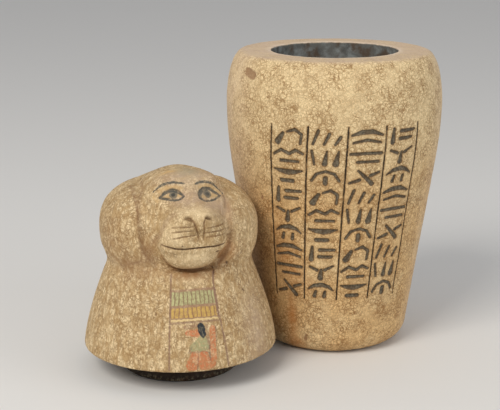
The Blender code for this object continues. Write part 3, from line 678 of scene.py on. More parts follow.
def jar_radius(jar, height):
    """Outside radius by height: a quarter oval at the heel, a straight flare that eases to the belly by a
    parabola, and a quarter oval over the shoulder."""
    belly_height = jar.height - SHOULDER_DROP
    down = 1.0 - np.clip(height / HEEL_HEIGHT, 0.0, 1.0)
    heel = FOOT_RADIUS + (HEEL_RADIUS - FOOT_RADIUS) * np.sqrt(1.0 - down * down)
    up = np.clip((height - belly_height) / SHOULDER_DROP, 0.0, 1.0)
    shoulder = jar.rim + (jar.belly - jar.rim) * np.sqrt(1.0 - up * up)
    share = (height - HEEL_HEIGHT) / (belly_height - HEEL_HEIGHT)
    slope = 2.0 / (1.0 + STRAIGHT_SHARE)
    eased_end = 1.0 - slope * (1.0 - share) ** 2 / (2.0 * (1.0 - STRAIGHT_SHARE))
    swell = np.where(share < STRAIGHT_SHARE, slope * share, eased_end)
    flare = HEEL_RADIUS + (jar.belly - HEEL_RADIUS) * swell
    return np.where(height < HEEL_HEIGHT, heel, np.where(height > belly_height, shoulder, flare))


def jar_section(jar):
    """Radius and height down the section: foot, heel, outside, rim, mouth, cavity wall and floor."""
    quarter = math.pi / 2.0
    belly_height = jar.height - SHOULDER_DROP
    heel = HEEL_HEIGHT * (1.0 - np.cos(fine_steps((HEEL_START, quarter, HEEL_TURN))))
    low, high = FLARE_FINE
    rows = ((HEEL_HEIGHT, low, LOWER_STEP), (low, high, CARVED_STEP), (high, belly_height, UPPER_STEP))
    flare = fine_steps(*rows)
    shoulder = belly_height + SHOULDER_DROP * np.sin(fine_steps((0.0, quarter, SHOULDER_TURN)))
    outside = np.concatenate([heel, flare, shoulder])
    foot = fine_steps((POLE_RADII[0], FOOT_RADIUS, FOOT_STEP))
    rim = fine_steps((jar.rim, jar.mouth + MOUTH_ROUNDING, UPPER_STEP))
    turn = fine_steps((quarter, 0.0, LIP_TURN))
    lip_radius = jar.mouth + MOUTH_ROUNDING * (1.0 - np.cos(quarter - turn))[::-1]
    lip_height = jar.height - MOUTH_ROUNDING * (1.0 - np.sin(turn))
    floor_top = jar.floor + CAVITY_CORNER
    top = jar.height - MOUTH_ROUNDING
    wall = fine_steps((top, CAVITY_FINE, LOWER_STEP), (CAVITY_FINE, floor_top, WALL_STEP))
    inner = np.minimum(jar.mouth, jar_radius(jar, wall) - jar.wall)
    corner = fine_steps((0.0, quarter, CORNER_TURN))
    corner_centre = min(jar.mouth, float(jar_radius(jar, floor_top)) - jar.wall) - CAVITY_CORNER
    floor = fine_steps((corner_centre, POLE_RADII[1], FLOOR_STEP))
    corner_radius = corner_centre + CAVITY_CORNER * np.cos(corner)
    corner_height = floor_top - CAVITY_CORNER * np.sin(corner)
    radius = np.concatenate([foot, jar_radius(jar, outside), rim, lip_radius, inner, corner_radius, floor])
    level_rim, level_floor = np.full_like(rim, jar.height), np.full_like(floor, jar.floor)
    height = np.concatenate([0.0 * foot, outside, level_rim, lip_height, wall, corner_height, level_floor])
    return radius, height


def rule_top(jar):
    """Height of the rules' top ends."""
    return jar.height - RULE_DROP


def rule_angle(jar, place, height):
    """Angle from the front of a place across the inscription: 0 is the first rule, 1 the second."""
    share = (height - RULE_FOOT) / (rule_top(jar) - RULE_FOOT)
    fan = RULE_SPREAD_FOOT + (RULE_SPREAD_TOP - RULE_SPREAD_FOOT) * share
    return fan * (place / (RULE_COUNT - 1) - 0.5) + RULE_LEAN * (share - 0.5)


def inscription_lines(jar):
    """The rules and the strokes as lines of angle, height and width, in degrees and millimetres.

    A stroke's points are shares of its group's half width and half height, and the group stands in
    the middle of its row and of its column between two rules.
    """
    top = rule_top(jar)
    pitch = (top - RULE_FOOT) / ROW_COUNT
    heights = np.linspace(RULE_FOOT, top, RULE_POINTS)
    wide = np.full_like(heights, RULE_WIDTH / MM)
    angles = (np.degrees(rule_angle(jar, rule, heights)) for rule in range(RULE_COUNT))
    rules = [np.stack([angle, heights / MM, wide], axis=-1) for angle in angles]
    strokes = []
    for column in range(RULE_COUNT - 1):
        for row in range(ROW_COUNT):
            middle = top - pitch * (row + 0.5)
            width = float(jar_radius(jar, middle)) * (rule_angle(jar, 1, middle) - rule_angle(jar, 0, middle))
            reach = GROUP_WIDTH_SHARE * width / 2.0 * (1.0 if (column + row) % 2 else -1.0)
            rise = GROUP_HEIGHT_SHARE * pitch / 2.0
            for stroke in STROKE_GROUPS[(3 * column + 7 * row) % len(STROKE_GROUPS)]:
                across, up, swelling = np.array(stroke).T
                height = middle + up * rise
                angle = rule_angle(jar, column + 0.5, height) + across * reach / jar_radius(jar, height)
                wide = swelling * STROKE_WIDTH / MM
                strokes.append(np.stack([np.degrees(angle), height / MM, wide], axis=-1))
    return rules, strokes


def surface_lines_distance(jar, angles, heights, lines):
    """The least distance to any of some lines on the jar, on the grid of angles and heights.

    For each line the surface is unrolled by its girth at the line's middle height.
    """
    distance = np.full((len(heights), len(angles)), FAR)
    for line in lines:
        flat = np.array(line, float)
        girth = float(jar_radius(jar, flat[:, 1].mean() * MM)) / MM
        flat[:, 0] = np.radians(flat[:, 0]) * girth
        low, high = flat[:, :2].min(axis=0) - WINDOW_MARGIN, flat[:, :2].max(axis=0) + WINDOW_MARGIN
        across, up = angles * girth, heights / MM
        window = np.ix_((up > low[1]) & (up < high[1]), (across > low[0]) & (across < high[0]))
        grid = np.stack(np.meshgrid(across, up), axis=-1)
        distance[window] = np.minimum(distance[window], line_distance(grid[window], flat))
    return distance


def stain(jar, angles, heights, spots):
    """How strong broad stains are on the jar: the strongest of soft spots, each with its own strength."""
    total = np.zeros((len(heights), len(angles)))
    for angle, height, across, up, strength in spots:
        girth = float(jar_radius(jar, height * MM)) / MM
        off = (angles - math.radians(angle))[None, :] * girth / across
        rise = (heights[:, None] / MM - height) / up
        total = np.maximum(total, strength * np.exp(-(off**2) - rise**2))
    return total


def jar_mesh(jar):
    """The jar: each ring of the section carried round the axis, shifted along the section's normal."""
    radius, height = jar_section(jar)
    angles = np.radians(fine_steps(*JAR_COLUMNS))
    slope = np.stack([np.gradient(height), -np.gradient(radius)])
    normal = slope / np.linalg.norm(slope, axis=0)
    # Rows from the foot to the rim's outer edge carry the carving.
    outer = int(np.argmax(height))
    outside = np.arange(len(height)) <= outer
    level = np.where(outside, height, -1.0)
    rules, strokes = inscription_lines(jar)
    stroke = surface_lines_distance(jar, angles, level, strokes)
    rule = surface_lines_distance(jar, angles, level, rules)
    chip = surface_lines_distance(jar, angles, level, JAR_CHIPS)
    flat = ring_points(angles, radius, height)
    relief = worn(flat, JAR_WEAR)
    inside = np.arange(len(height))[:, None] > outer + CAVITY_ROWS
    relief += np.where(inside, worn(flat, CAVITY_WEAR), 0.0)
    cut_in(
        relief,
        (
            (stroke, 0.25, 0.95, jar.stroke_depth),
            (rule, 0.30, 0.75, jar.rule_depth),
            (chip, 0.30, 1.40, CHIP_DEPTH),
        ),
    )
    relief[height == 0.0] = 0.0
    rings = flat + relief[..., None] * ring_points(angles, *normal)
    along = np.concatenate([[0.0], np.cumsum(np.hypot(np.diff(radius), np.diff(height)))]) / MM
    lip_row = outer + int(np.argmax(radius[outer:] < jar.mouth + 0.5 * MOUTH_ROUNDING))
    rim_row = int(np.argmax(height >= jar.height - 1e-6))
    wide = np.ones((1, len(angles)))
    off_front = np.abs(np.degrees(angles) - FLANK[0])
    attributes = {
        "strokes": stroke,
        "rules": rule,
        "chips": chip,
        "iron": stain(jar, angles, level, IRON_STAINS),
        "brown": stain(jar, angles, level, BROWN_STAINS_AND_LID_SHADE),
        "into_mouth": (along - along[lip_row])[:, None] * wide,
        "over_rim": (along - along[rim_row])[:, None] * wide,
        "flank": eased((off_front - FLANK[1]) / FLANK[2])[None, :] * np.ones((len(height), 1)),
    }
    return ring_mesh("carved_jar", rings, (0.0, 0.0, 0.0), (0.0, 0.0, jar.floor), attributes)


# Lid


def rounded(point, form):
    """Roughly the distance to a rounded form: each axis over its radius, to a power, summed."""
    centre, radii, power, narrowing = form
    off = point - np.array(centre)
    radii = np.array(radii)
    off[..., 0] /= 1.0 - narrowing * np.clip(off[..., 2] / radii[2], -1.0, 1.0)
    off = np.abs(off)
    size = np.maximum(np.sum((off / radii) ** power, axis=-1) ** (1.0 / power), 1e-6)
    slope = np.sqrt(np.sum((off ** (power - 1.0) / radii**power) ** 2, axis=-1)) * size ** (1.0 - power)
    return (size - 1.0) / np.maximum(slope, 1e-6)


def blended(first, second, width):
    """The union of two distances, with a fillet of about this width."""
    near = np.maximum(width - np.abs(first - second), 0.0) / width
    return np.minimum(first, second) - near * near * width / 4.0


def face_recess(point):
    """How deep the mane is cut back inside the oval, which is a squared oval seen from the front."""
    across = np.abs(point[..., 0]) / np.where(point[..., 0] < 0.0, *OVAL_HALF_WIDTHS)
    up = np.abs(point[..., 2] - OVAL_CENTRE) / OVAL_HEIGHT
    out = (across**OVAL_SQUARENESS + up**OVAL_SQUARENESS) ** (1.0 / OVAL_SQUARENESS)
    out = np.where(point[..., 1] < 0.0, out, 2.0)
    return RECESS_DEPTH * eased((RECESS_EDGE - out) / RECESS_SLOPE)


def bell(point):
    """Distance to the shoulders, which widen from the neck to the seat by a power of the height."""
    rise = np.clip(point[..., 2] / NECK_HEIGHT, 0.0, 1.0) ** BELL_CURVE
    radius = SEAT_RADIUS + (NECK_RADIUS - SEAT_RADIUS) * rise
    return np.maximum(np.hypot(point[..., 0], point[..., 1]) - radius, point[..., 2] - NECK_HEIGHT)


def lid_distance(point):
    """Roughly the distance from a point to the lid's carved surface, less than nothing inside."""
    mane = rounded(point, MANE) + face_recess(point)
    head = blended(mane, rounded(point, CROWN), CROWN_BLEND)
    head = blended(head, bell(point), NECK_BLEND)
    face = rounded(point, FACE)
    for form, fillet in FACE_FORMS:
        face = blended(face, rounded(point, form), fillet)
    return blended(head, face, FACE_BLEND)


def surface_along(origins, directions):
    """Where rays from inside the lid meet its surface, by halving the stretch in which it lies."""
    near = np.zeros(origins.shape[:-1])
    far = np.full(origins.shape[:-1], RAY_REACH)
    for _ in range(RAY_HALVINGS):
        middle = (near + far) / 2.0
        inside = lid_distance(origins + directions * middle[..., None]) < 0.0
        near = np.where(inside, middle, near)
        far = np.where(inside, far, middle)
    return origins + directions * far[..., None]


def lid_normals(points):
    """The way out of the lid at points on its surface, from how the distance changes round them."""
    sides = np.eye(3) * NORMAL_STEP
    changes = [lid_distance(points + side) - lid_distance(points - side) for side in sides]
    normals = np.stack(changes, axis=-1)
    return normals / np.linalg.norm(normals, axis=-1)[..., None]


def laid(across, back, up, directions, width):
    """A line laid on the lid's surface by rays from places inside it, in millimetres."""
    *origins, width = np.broadcast_arrays(across, back, up, width)
    origins = np.stack(origins, axis=-1) * MM
    surface = surface_along(origins, np.broadcast_to(directions, origins.shape)) / MM
    return np.concatenate([surface, width[:, None]], axis=-1)


def on_front(line, step=LAID_STEP):
    """A line of the face, as points a step apart, thrown forwards along Y onto the lid's surface."""
    line = np.asarray(line, float)
    along = np.concatenate([[0.0], np.cumsum(np.hypot(*np.diff(line[:, :2], axis=0).T))])
    places = np.linspace(0.0, along[-1], max(2, round(along[-1] / step) + 1))
    across, up, width = (np.interp(places, along, line[:, i]) for i in range(3))
    return laid(across, 0.0, up, (0.0, -1.0, 0.0), width)


def over_top(line):
    """Points across, back and wide in millimetres, laid on the top of the lid from below."""
    across, back, width = np.asarray(line, float).T
    return laid(across, back, UNDER_TOP, (0.0, 0.0, 1.0), width)


def oval_line(side):
    """The groove round one side of the face, wider at its middle."""
    turns = np.linspace(*OVAL_SWEEP, GROOVE_POINTS)
    rounding = 2.0 / OVAL_SQUARENESS
    across = side * OVAL_HALF_WIDTHS[0 if side < 0.0 else 1] * np.cos(turns) ** rounding
    up = OVAL_CENTRE + OVAL_HEIGHT * np.sign(turns) * np.abs(np.sin(turns)) ** rounding
    swelling = np.sin(np.linspace(0.0, math.pi, GROOVE_POINTS)) ** GROOVE_SWELL
    width = GROOVE_WIDTHS[0] + GROOVE_WIDTHS[1] * swelling
    return np.stack([across / MM, up / MM, width], axis=-1)


def panel_edges(height):
    """Angles of the panel's left and right rules at heights in millimetres, in degrees."""
    return LEFT_RULE_ANGLE, np.interp(height, RIGHT_RULE_HEIGHTS, RIGHT_RULE_ANGLES)


def chest_line(angle, height, width):
    """Points by their angle in degrees and their height in millimetres, laid on the lid's surface."""
    turn = np.radians(angle)
    return laid(0.0, 0.0, height, np.stack([np.sin(turn), -np.cos(turn), 0.0 * turn], axis=-1), width)


def panel_lines():
    """The rules at the panel's sides, and the level line under its bars."""
    heights = np.linspace(*PANEL_RULE_ENDS, PANEL_RULE_POINTS)
    rules = [chest_line(edge, heights, PANEL_RULE_WIDTH) for edge in panel_edges(heights)]
    left, right = panel_edges(STRIP_LINE)
    angles = np.linspace(left + STRIP_LINE_INSET, right - STRIP_LINE_INSET, STRIP_LINE_POINTS)
    sag = PANEL_SAG * np.abs(angles / PANEL_HALF_ANGLE) ** 2
    return [*rules, chest_line(angles, STRIP_LINE - sag, STRIP_LINE_WIDTH)]


def lid_rings(columns):
    """Rings up the lid: tenon foot and side, the seat's underside and edge, then level rays to the carved
    surface, and above the rays' centre a fan of rays that tilts up to the crown."""
    quarter = math.pi / 2.0
    turn = fine_steps((quarter, 0.0, SEAT_TURN))
    chamfer = TENON_RADIUS - TENON_CHAMFER
    foot = fine_steps((POLE_RADII[0], chamfer, TENON_FOOT_STEP))
    side = fine_steps((TENON_CHAMFER - TENON_HEIGHT, 0.0, TENON_SIDE_STEP))
    under = fine_steps((TENON_RADIUS, SEAT_RADIUS - SEAT_ROUNDING, SEAT_STEP))
    edge_radius = SEAT_RADIUS - SEAT_ROUNDING * (1.0 - np.cos(turn))
    edge_height = SEAT_ROUNDING * (1.0 - np.sin(turn))
    radius = np.concatenate([foot, [chamfer], np.full_like(side, TENON_RADIUS), under, edge_radius])
    height = np.concatenate([0 * foot - TENON_HEIGHT, [-TENON_HEIGHT], side, 0 * under, edge_height])
    level, tilt = fine_steps(*LID_LEVELS), np.radians(fine_steps(*LID_TILTS))
    rise = np.concatenate([level, np.full_like(tilt, RAY_CENTRE_HEIGHT)])
    lean = np.concatenate([np.zeros_like(level), tilt])
    directions = ring_points(columns, np.cos(lean), np.sin(lean))
    origins = np.zeros_like(directions)
    origins[..., 2] = rise[:, None]
    return ring_points(columns, radius, height), surface_along(origins, directions)


def lid_relief(points, lid):
    """How far the carving shifts the surface, in metres, and the attributes that the material reads."""
    places = points / MM
    near = {}
    for label, lines in FACE_LINES.items():
        near[label] = nearest_of(places, [on_front(line) for line in lines])
    near["eye_whites"] = nearest_of(places, [on_front(line, FINE_LAID_STEP) for line in EYES])
    near["face_groove"] = nearest_of(places, [on_front(oval_line(side)) for side in (-1.0, 1.0)])
    near["panel_lines"] = nearest_of(places, panel_lines())
    near["shoulder_creases"] = np.minimum(nearest_of(places, SHOULDER_CREASES), near.pop("mane_line"))
    hollow = nearest_of(places, [over_top(line) for line in CROWN_HOLLOWS])
    whiskers, lips = near.pop("whiskers"), near.pop("lips")
    mouth, nostril = near["mouth_line"], near["nostrils"]
    relief = worn(points, LID_WEAR)
    cut_in(
        relief,
        (
            (whiskers, 0.30, 0.70, lid.line_depth),
            (lips, 0.30, 0.85, LIP_DEPTH_SHARE * lid.line_depth),
            (mouth, 0.30, 0.90, lid.mouth_depth),
            (nostril, 0.40, 1.90, lid.nostril_depth),
            (hollow, *HOLLOW_CUT),
            *((near[label], *cut) for label, cut in LID_CUTS.items()),
        ),
    )
    start, slope, rise = NOSTRIL_RIM
    relief += rise * eased((start - nostril) / slope) * eased(nostril)
    angle = np.degrees(np.arctan2(points[..., 0], -points[..., 1]))
    facing = points[..., 1] < 0.0
    left, right = panel_edges(places[..., 2])
    sag = PANEL_SAG * (1.0 - np.clip(angle / PANEL_HALF_ANGLE, -1.0, 1.0) ** 2)
    attributes = {
        **near,
        "cuts": np.minimum(np.minimum(whiskers, lips + LIP_INSET), mouth),
        "panel_across": np.where(facing, (angle - left) / (right - left), -1.0),
        "panel_up": places[..., 2] - sag + PANEL_LIFT,
        "above_seat": places[..., 2],
    }
    for label, spots in LID_STAINS.items():
        total = sum(strength * spread(places, centre, radii) for strength, centre, radii in spots)
        attributes[label] = np.clip(total, 0.0, 1.0)
    girth = np.hypot(places[..., 0], places[..., 1])
    unrolled_points = np.stack([np.radians(angle) * girth, places[..., 2]], axis=-1)
    for label, lines in FIGURE.items():
        attributes[label] = np.where(facing, nearest_of(unrolled_points, lines), FAR)
    return relief, attributes


def lid_mesh(lid):
    """The lid: its rings, shifted along the carved form's normal, then stood in its place by the jar."""
    low, high = lid_rings(np.radians(fine_steps(*LID_COLUMNS)))
    relief, attributes = lid_relief(high, lid)
    high = high + relief[..., None] * lid_normals(high)
    # The tenon's side and the seat's edge are rough.
    rough = worn(low, TENON_WEAR)
    height = low[..., 2]
    out = low * (1.0, 1.0, 0.0)
    out /= np.linalg.norm(out, axis=-1)[..., None]
    on_tenon = (height < -ROUGH_FROM_SEAT) & (height > -TENON_HEIGHT + 1e-5)
    low = low + np.where(on_tenon, rough, 0.0)[..., None] * out
    on_edge = (height >= 0.0) & (np.hypot(low[..., 0], low[..., 1]) > TENON_RADIUS + EDGE_FROM_TENON)
    low = low - np.where(on_edge, EDGE_WEAR_SHARE * np.abs(rough), 0.0)[..., None] * out
    rings = np.concatenate([low, high])
    filled = {"above_seat": height / MM, "panel_up": height / MM, "panel_across": np.full(height.shape, -1.0)}
    for label, values in attributes.items():
        blank = np.full(height.shape, 0.0 if label in LID_STAINS else FAR)
        attributes[label] = np.concatenate([filled.get(label, blank), values])
    crown = surface_along(np.array([[0.0, 0.0, RAY_CENTRE_HEIGHT]]), np.array([[0.0, 0.0, 1.0]]))[0]
    sine, cosine = math.sin(LID_TURN), math.cos(LID_TURN)
    turn = np.array([[cosine, -sine, 0.0], [sine, cosine, 0.0], [0.0, 0.0, 1.0]])
    place = np.array([LID_AWAY * math.sin(LID_BEARING), -LID_AWAY * math.cos(LID_BEARING), TENON_HEIGHT])
    foot_pole = np.array([0.0, 0.0, -TENON_HEIGHT]) + place
    return ring_mesh("carved_lid", rings @ turn.T + place, foot_pole, crown + place, attributes)


# Materials


class Graph:
    """Adds nodes to one material and links them."""

    def __init__(self, name):
        self.material = bpy.data.materials.new(name)
        self.material.use_nodes = True
        self.tree = self.material.node_tree
        self.shader = self.tree.nodes["Principled BSDF"]
        self.place = self.node("ShaderNodeTexCoord").outputs["Object"]

    def node(self, kind, inputs=None, **settings):
        """Adds a node, and sets or links its inputs by name or number."""
        made = self.tree.nodes.new(kind)
        for name, value in settings.items():
            setattr(made, name, value)
        for key, value in (inputs or {}).items():
            self.feed(made.inputs[key], value)
        return made

    def feed(self, socket, value):
        """Links an output to a socket, or sets the socket to a plain value."""
        if isinstance(value, bpy.types.NodeSocket):
            self.tree.links.new(value, socket)
        else:
            socket.default_value = value

    def noise(self, size, detail=3.0, roughness=0.55, place=None):
        """Cloudy noise with features of about a size in metres."""
        inputs = {"Vector": place or self.place, "Scale": 1.0 / size}
        inputs |= {"Detail": detail, "Roughness": roughness}
        return self.node("ShaderNodeTexNoise", inputs).outputs["Fac"]

    def clouds(self, size, detail, roughness, low, high, first=0.0, last=1.0, place=None):
        """Cloudy noise taken from one range to another."""
        return self.span(self.noise(size, detail, roughness, place), low, high, first, last)

    def warped(self, size, amount):
        """Object coordinates that noise bends by an amount in metres."""
        noise = self.node("ShaderNodeTexNoise", {"Vector": self.place, "Scale": 1.0 / size, "Detail": 2.0})
        inputs = {0: noise.outputs["Color"], 1: (0.5, 0.5, 0.5)}
        centred = self.node("ShaderNodeVectorMath", inputs, operation="SUBTRACT")
        inputs = {0: centred.outputs[0], "Scale": amount * 2.0}
        scaled = self.node("ShaderNodeVectorMath", inputs, operation="SCALE")
        return self.node("ShaderNodeVectorMath", {0: self.place, 1: scaled.outputs[0]}).outputs[0]

    def stretched(self, turn, squeeze, place=None):
        """Object coordinates turned and squeezed, so that noise on them makes streaks."""
        inputs = {"Vector": place or self.place, "Rotation": turn, "Scale": squeeze}
        return self.node("ShaderNodeMapping", inputs).outputs[0]

    def cells(self, size, place):
        """Distance to the nearest edge between cells of about a size in metres."""
        inputs = {"Vector": place, "Scale": 1.0 / size}
        return self.node("ShaderNodeTexVoronoi", inputs, feature="DISTANCE_TO_EDGE").outputs["Distance"]

    def span(self, value, low, high, first=0.0, last=1.0):
        """Takes a value from one range to another with a smooth start and end."""
        inputs = {"Value": value, "From Min": low, "From Max": high, "To Min": first, "To Max": last}
        return self.node("ShaderNodeMapRange", inputs, interpolation_type="SMOOTHSTEP").outputs[0]

    def maths(self, operation, first, second=0.0):
        """One sum of two values."""
        return self.node("ShaderNodeMath", {0: first, 1: second}, operation=operation).outputs[0]

    def times(self, first, second):
        """The product of two values."""
        return self.maths("MULTIPLY", first, second)

    def between(self, value, low, top, softness):
        """1 inside a range, with soft ends."""
        rise = self.span(value, low - softness, low + softness)
        return self.times(rise, self.span(value, top - softness, top + softness, 1.0, 0.0))

    def attribute(self, name):
        """A value kept on the mesh."""
        return self.node("ShaderNodeAttribute", attribute_name=name).outputs["Fac"]

    def mix(self, factor, first, second, kind="MIX"):
        """Mixes two colours, each of them an output or the three values of a colour."""
        inputs = {0: factor}
        for socket, paint in ((6, first), (7, second)):
            inputs[socket] = paint if isinstance(paint, bpy.types.NodeSocket) else (*paint, 1.0)
        return self.node("ShaderNodeMix", inputs, data_type="RGBA", blend_type=kind).outputs[2]

    def lay(self, stone, mask, strength, paint):
        """Paints over the stone where a mask lies, at a strength."""
        return self.mix(self.times(mask, strength), stone, paint)

    def lines(self, stone, layers):
        """Paints along lines: the distance's name, then edge, softness, wobble, strength and paint."""
        for name, edge, softness, wobble, strength, paint in layers:
            stone = self.lay(stone, self.within(name, edge, softness, wobble), strength, paint)
        return stone

    def patches(self, stone, layers):
        """Paints soft spots: the spot's name, its strength, the size of its breaks and its paint."""
        for name, strength, size, paint in layers:
            broken = self.clouds(size, 4.0, 0.65, 0.30, 0.62, 0.45, 1.0)
            stone = self.lay(stone, self.times(self.attribute(name), broken), strength, paint)
        return stone

    def within(self, name, edge=0.0, softness=0.3, wobble=0.25, grain=0.0016):
        """1 where a distance on the mesh is under an edge in millimetres, which noise shifts to and fro."""
        shift = self.clouds(grain, 3.0, 0.6, 0.25, 0.75, -wobble, wobble)
        value = self.maths("ADD", self.attribute(name), shift)
        return self.span(value, edge - softness, edge + softness, 1.0, 0.0)

    def bump(self, height, strength, distance, normal=None):
        """Lifts the surface's normal by a height map."""
        inputs = {"Height": height, "Strength": strength, "Distance": distance}
        if normal is not None:
            inputs["Normal"] = normal
        return self.node("ShaderNodeBump", inputs).outputs[0]


def limestone(graph, pale, vein, cell, blotch, patches):
    """The stone itself: a worm-like network of veins, blotches, and fine grain.

    Veins lie where cloudy noise crosses its middle value and at the edges of bent cells, and a wider
    noise makes them stronger or weaker from place to place.
    """
    bent = graph.warped(cell * 1.6, cell * 0.55)
    edges = graph.span(graph.cells(cell, bent), 0.01, 0.17, 1.0, 0.0)
    fine_edges = graph.span(graph.cells(cell * 0.48, bent), 0.0, 0.20, 1.0, 0.0)
    contour = graph.maths("ABSOLUTE", graph.maths("SUBTRACT", graph.noise(cell * 1.2, 2.5, 0.5, bent), 0.5))
    worms = graph.span(contour, 0.004, 0.055, 1.0, 0.0)
    network = graph.maths("MAXIMUM", graph.times(edges, 0.75), graph.times(worms, 0.95))
    network = graph.maths("MAXIMUM", network, graph.times(fine_edges, 0.30))
    network = graph.times(network, graph.clouds(0.014, 4.0, 0.65, 0.36, 0.60, 0.42, 1.0))
    stone = graph.lay(pale, network, 0.95, vein)
    stone = graph.mix(graph.clouds(blotch, 5.0, 0.68, 0.46, 0.64, 0.0, patches), stone, vein)
    stone = graph.mix(graph.clouds(blotch * 0.55, 4.0, 0.65, 0.54, 0.66, 0.0, patches, bent), stone, pale)
    grain = graph.clouds(0.0010, 3.0, 0.7, 0.32, 0.68, 0.74, 1.14)
    grey = graph.node("ShaderNodeCombineColor", {0: grain, 1: grain, 2: grain}).outputs[0]
    return graph.mix(1.0, stone, grey, "MULTIPLY"), network


def finish_stone(graph, base, network, rough_low, rough_high):
    """Feeds the shader: colour, roughness that follows the grain, and bump from veins and grain."""
    graph.feed(graph.shader.inputs["Base Color"], base)
    roughness = graph.clouds(0.004, 4.0, 0.6, 0.30, 0.70, rough_low, rough_high)
    graph.feed(graph.shader.inputs["Roughness"], roughness)
    graph.shader.inputs["Specular IOR Level"].default_value = 0.30
    normal = graph.bump(graph.noise(0.0011, 4.0, 0.65), 0.35, 0.0003)
    normal = graph.bump(network, 0.30, -0.0002, normal)
    normal = graph.bump(graph.clouds(0.0028, 2.0, 0.5, 0.66, 0.76), 0.40, -0.0004, normal)
    graph.feed(graph.shader.inputs["Normal"], normal)
    return graph.material


def jar_material(jar):
    """Pale veined stone, yellower below, with stains, painted shade where it faces the lid, grey-brown fill
    in the strokes with dark painted shade at their edges, a painted highlight round the mouth, and a dark
    inside.
    """
    graph = Graph("veined_jar_stone")
    stone, network = limestone(graph, jar.pale, jar.vein, 0.0036, 0.016, 0.20)
    height = graph.node("ShaderNodeSeparateXYZ", {0: graph.place}).outputs[2]
    low = graph.span(height, 0.205, 0.120, 0.0, 0.42)
    warm = graph.times(low, graph.clouds(0.035, 3.0, 0.55, 0.3, 0.6, 0.4, 1.0))
    stone = graph.mix(warm, stone, jar.warm, "MULTIPLY")
    stone = graph.patches(stone, (("flank", 0.38, 0.020, jar.dusty),))
    on_rim = graph.span(graph.attribute("over_rim"), -6.0, 1.0, 0.0, 0.72)
    stone = graph.lay(stone, on_rim, graph.clouds(0.007, 4.0, 0.65, 0.36, 0.60, 0.45, 1.0), jar.dusty)
    # Brown patches, partly painted shade where the jar faces the lid, then rusty iron stains
    stone = graph.patches(stone, (("brown", 0.72, 0.010, jar.shade), ("iron", 0.90, 0.008, jar.stain)))
    worn_edge = tone(150, 112, 66)
    fill = graph.mix(graph.clouds(0.0018, 3.0, 0.6, 0.38, 0.64), jar.fill, tone(124, 114, 94))
    kept = graph.clouds(0.0045, 4.0, 0.65, 0.34, 0.56, 0.45, 0.95)
    ink = graph.clouds(0.011, 3.0, 0.6, 0.30, 0.46, 0.55, 0.97)
    layers = (
        ("strokes", 0.9, 1.1, 0.7, 0.42, worn_edge),
        # Painted shade: a dark brown rim at the cut edges of the strokes
        ("strokes", 0.10, 0.35, 0.25, 0.85, tone(60, 40, 22)),
        ("strokes", -0.42, 0.30, 0.24, kept, fill),
        ("rules", 0.55, 0.60, 0.2, 0.45, worn_edge),
        ("rules", 0.02, 0.25, 0.18, ink, tone(38, 28, 18)),
        ("chips", 0.2, 0.6, 0.5, 0.80, tone(140, 104, 72)),
    )
    stone = graph.lines(stone, layers)
    turned = graph.stretched((0.3, 0.2, 0.9), (1.0, 1.0, 1.0))
    inner = graph.mix(graph.clouds(0.008, 5.0, 0.65, 0.40, 0.70, 0.0, 0.75), jar.inside, tone(144, 148, 146))
    inner = graph.mix(graph.clouds(0.013, 4.0, 0.6, 0.48, 0.66, 0.0, 0.8), inner, tone(84, 64, 46))
    inner = graph.mix(graph.clouds(0.010, 3.0, 0.6, 0.50, 0.72, 0.0, 0.55, turned), inner, tone(46, 46, 45))
    shift = graph.clouds(0.004, 3.0, 0.55, 0.3, 0.7, -0.3, 0.3)
    into = graph.maths("ADD", graph.attribute("into_mouth"), shift)
    # Painted highlight: a whitish band along the inner edge of the rim, round the mouth
    painted_lip_highlight = graph.span(into, -6.5, -0.4, 0.0, 0.62)
    stone = graph.lay(stone, painted_lip_highlight, graph.clouds(0.006, 3.0, 0.55, 0.35, 0.6, 0.3, 1.0), tone(232, 212, 190))
    stone = graph.mix(graph.span(into, -0.2, 1.4), stone, inner)
    return finish_stone(graph, stone, network, 0.62, 0.82)


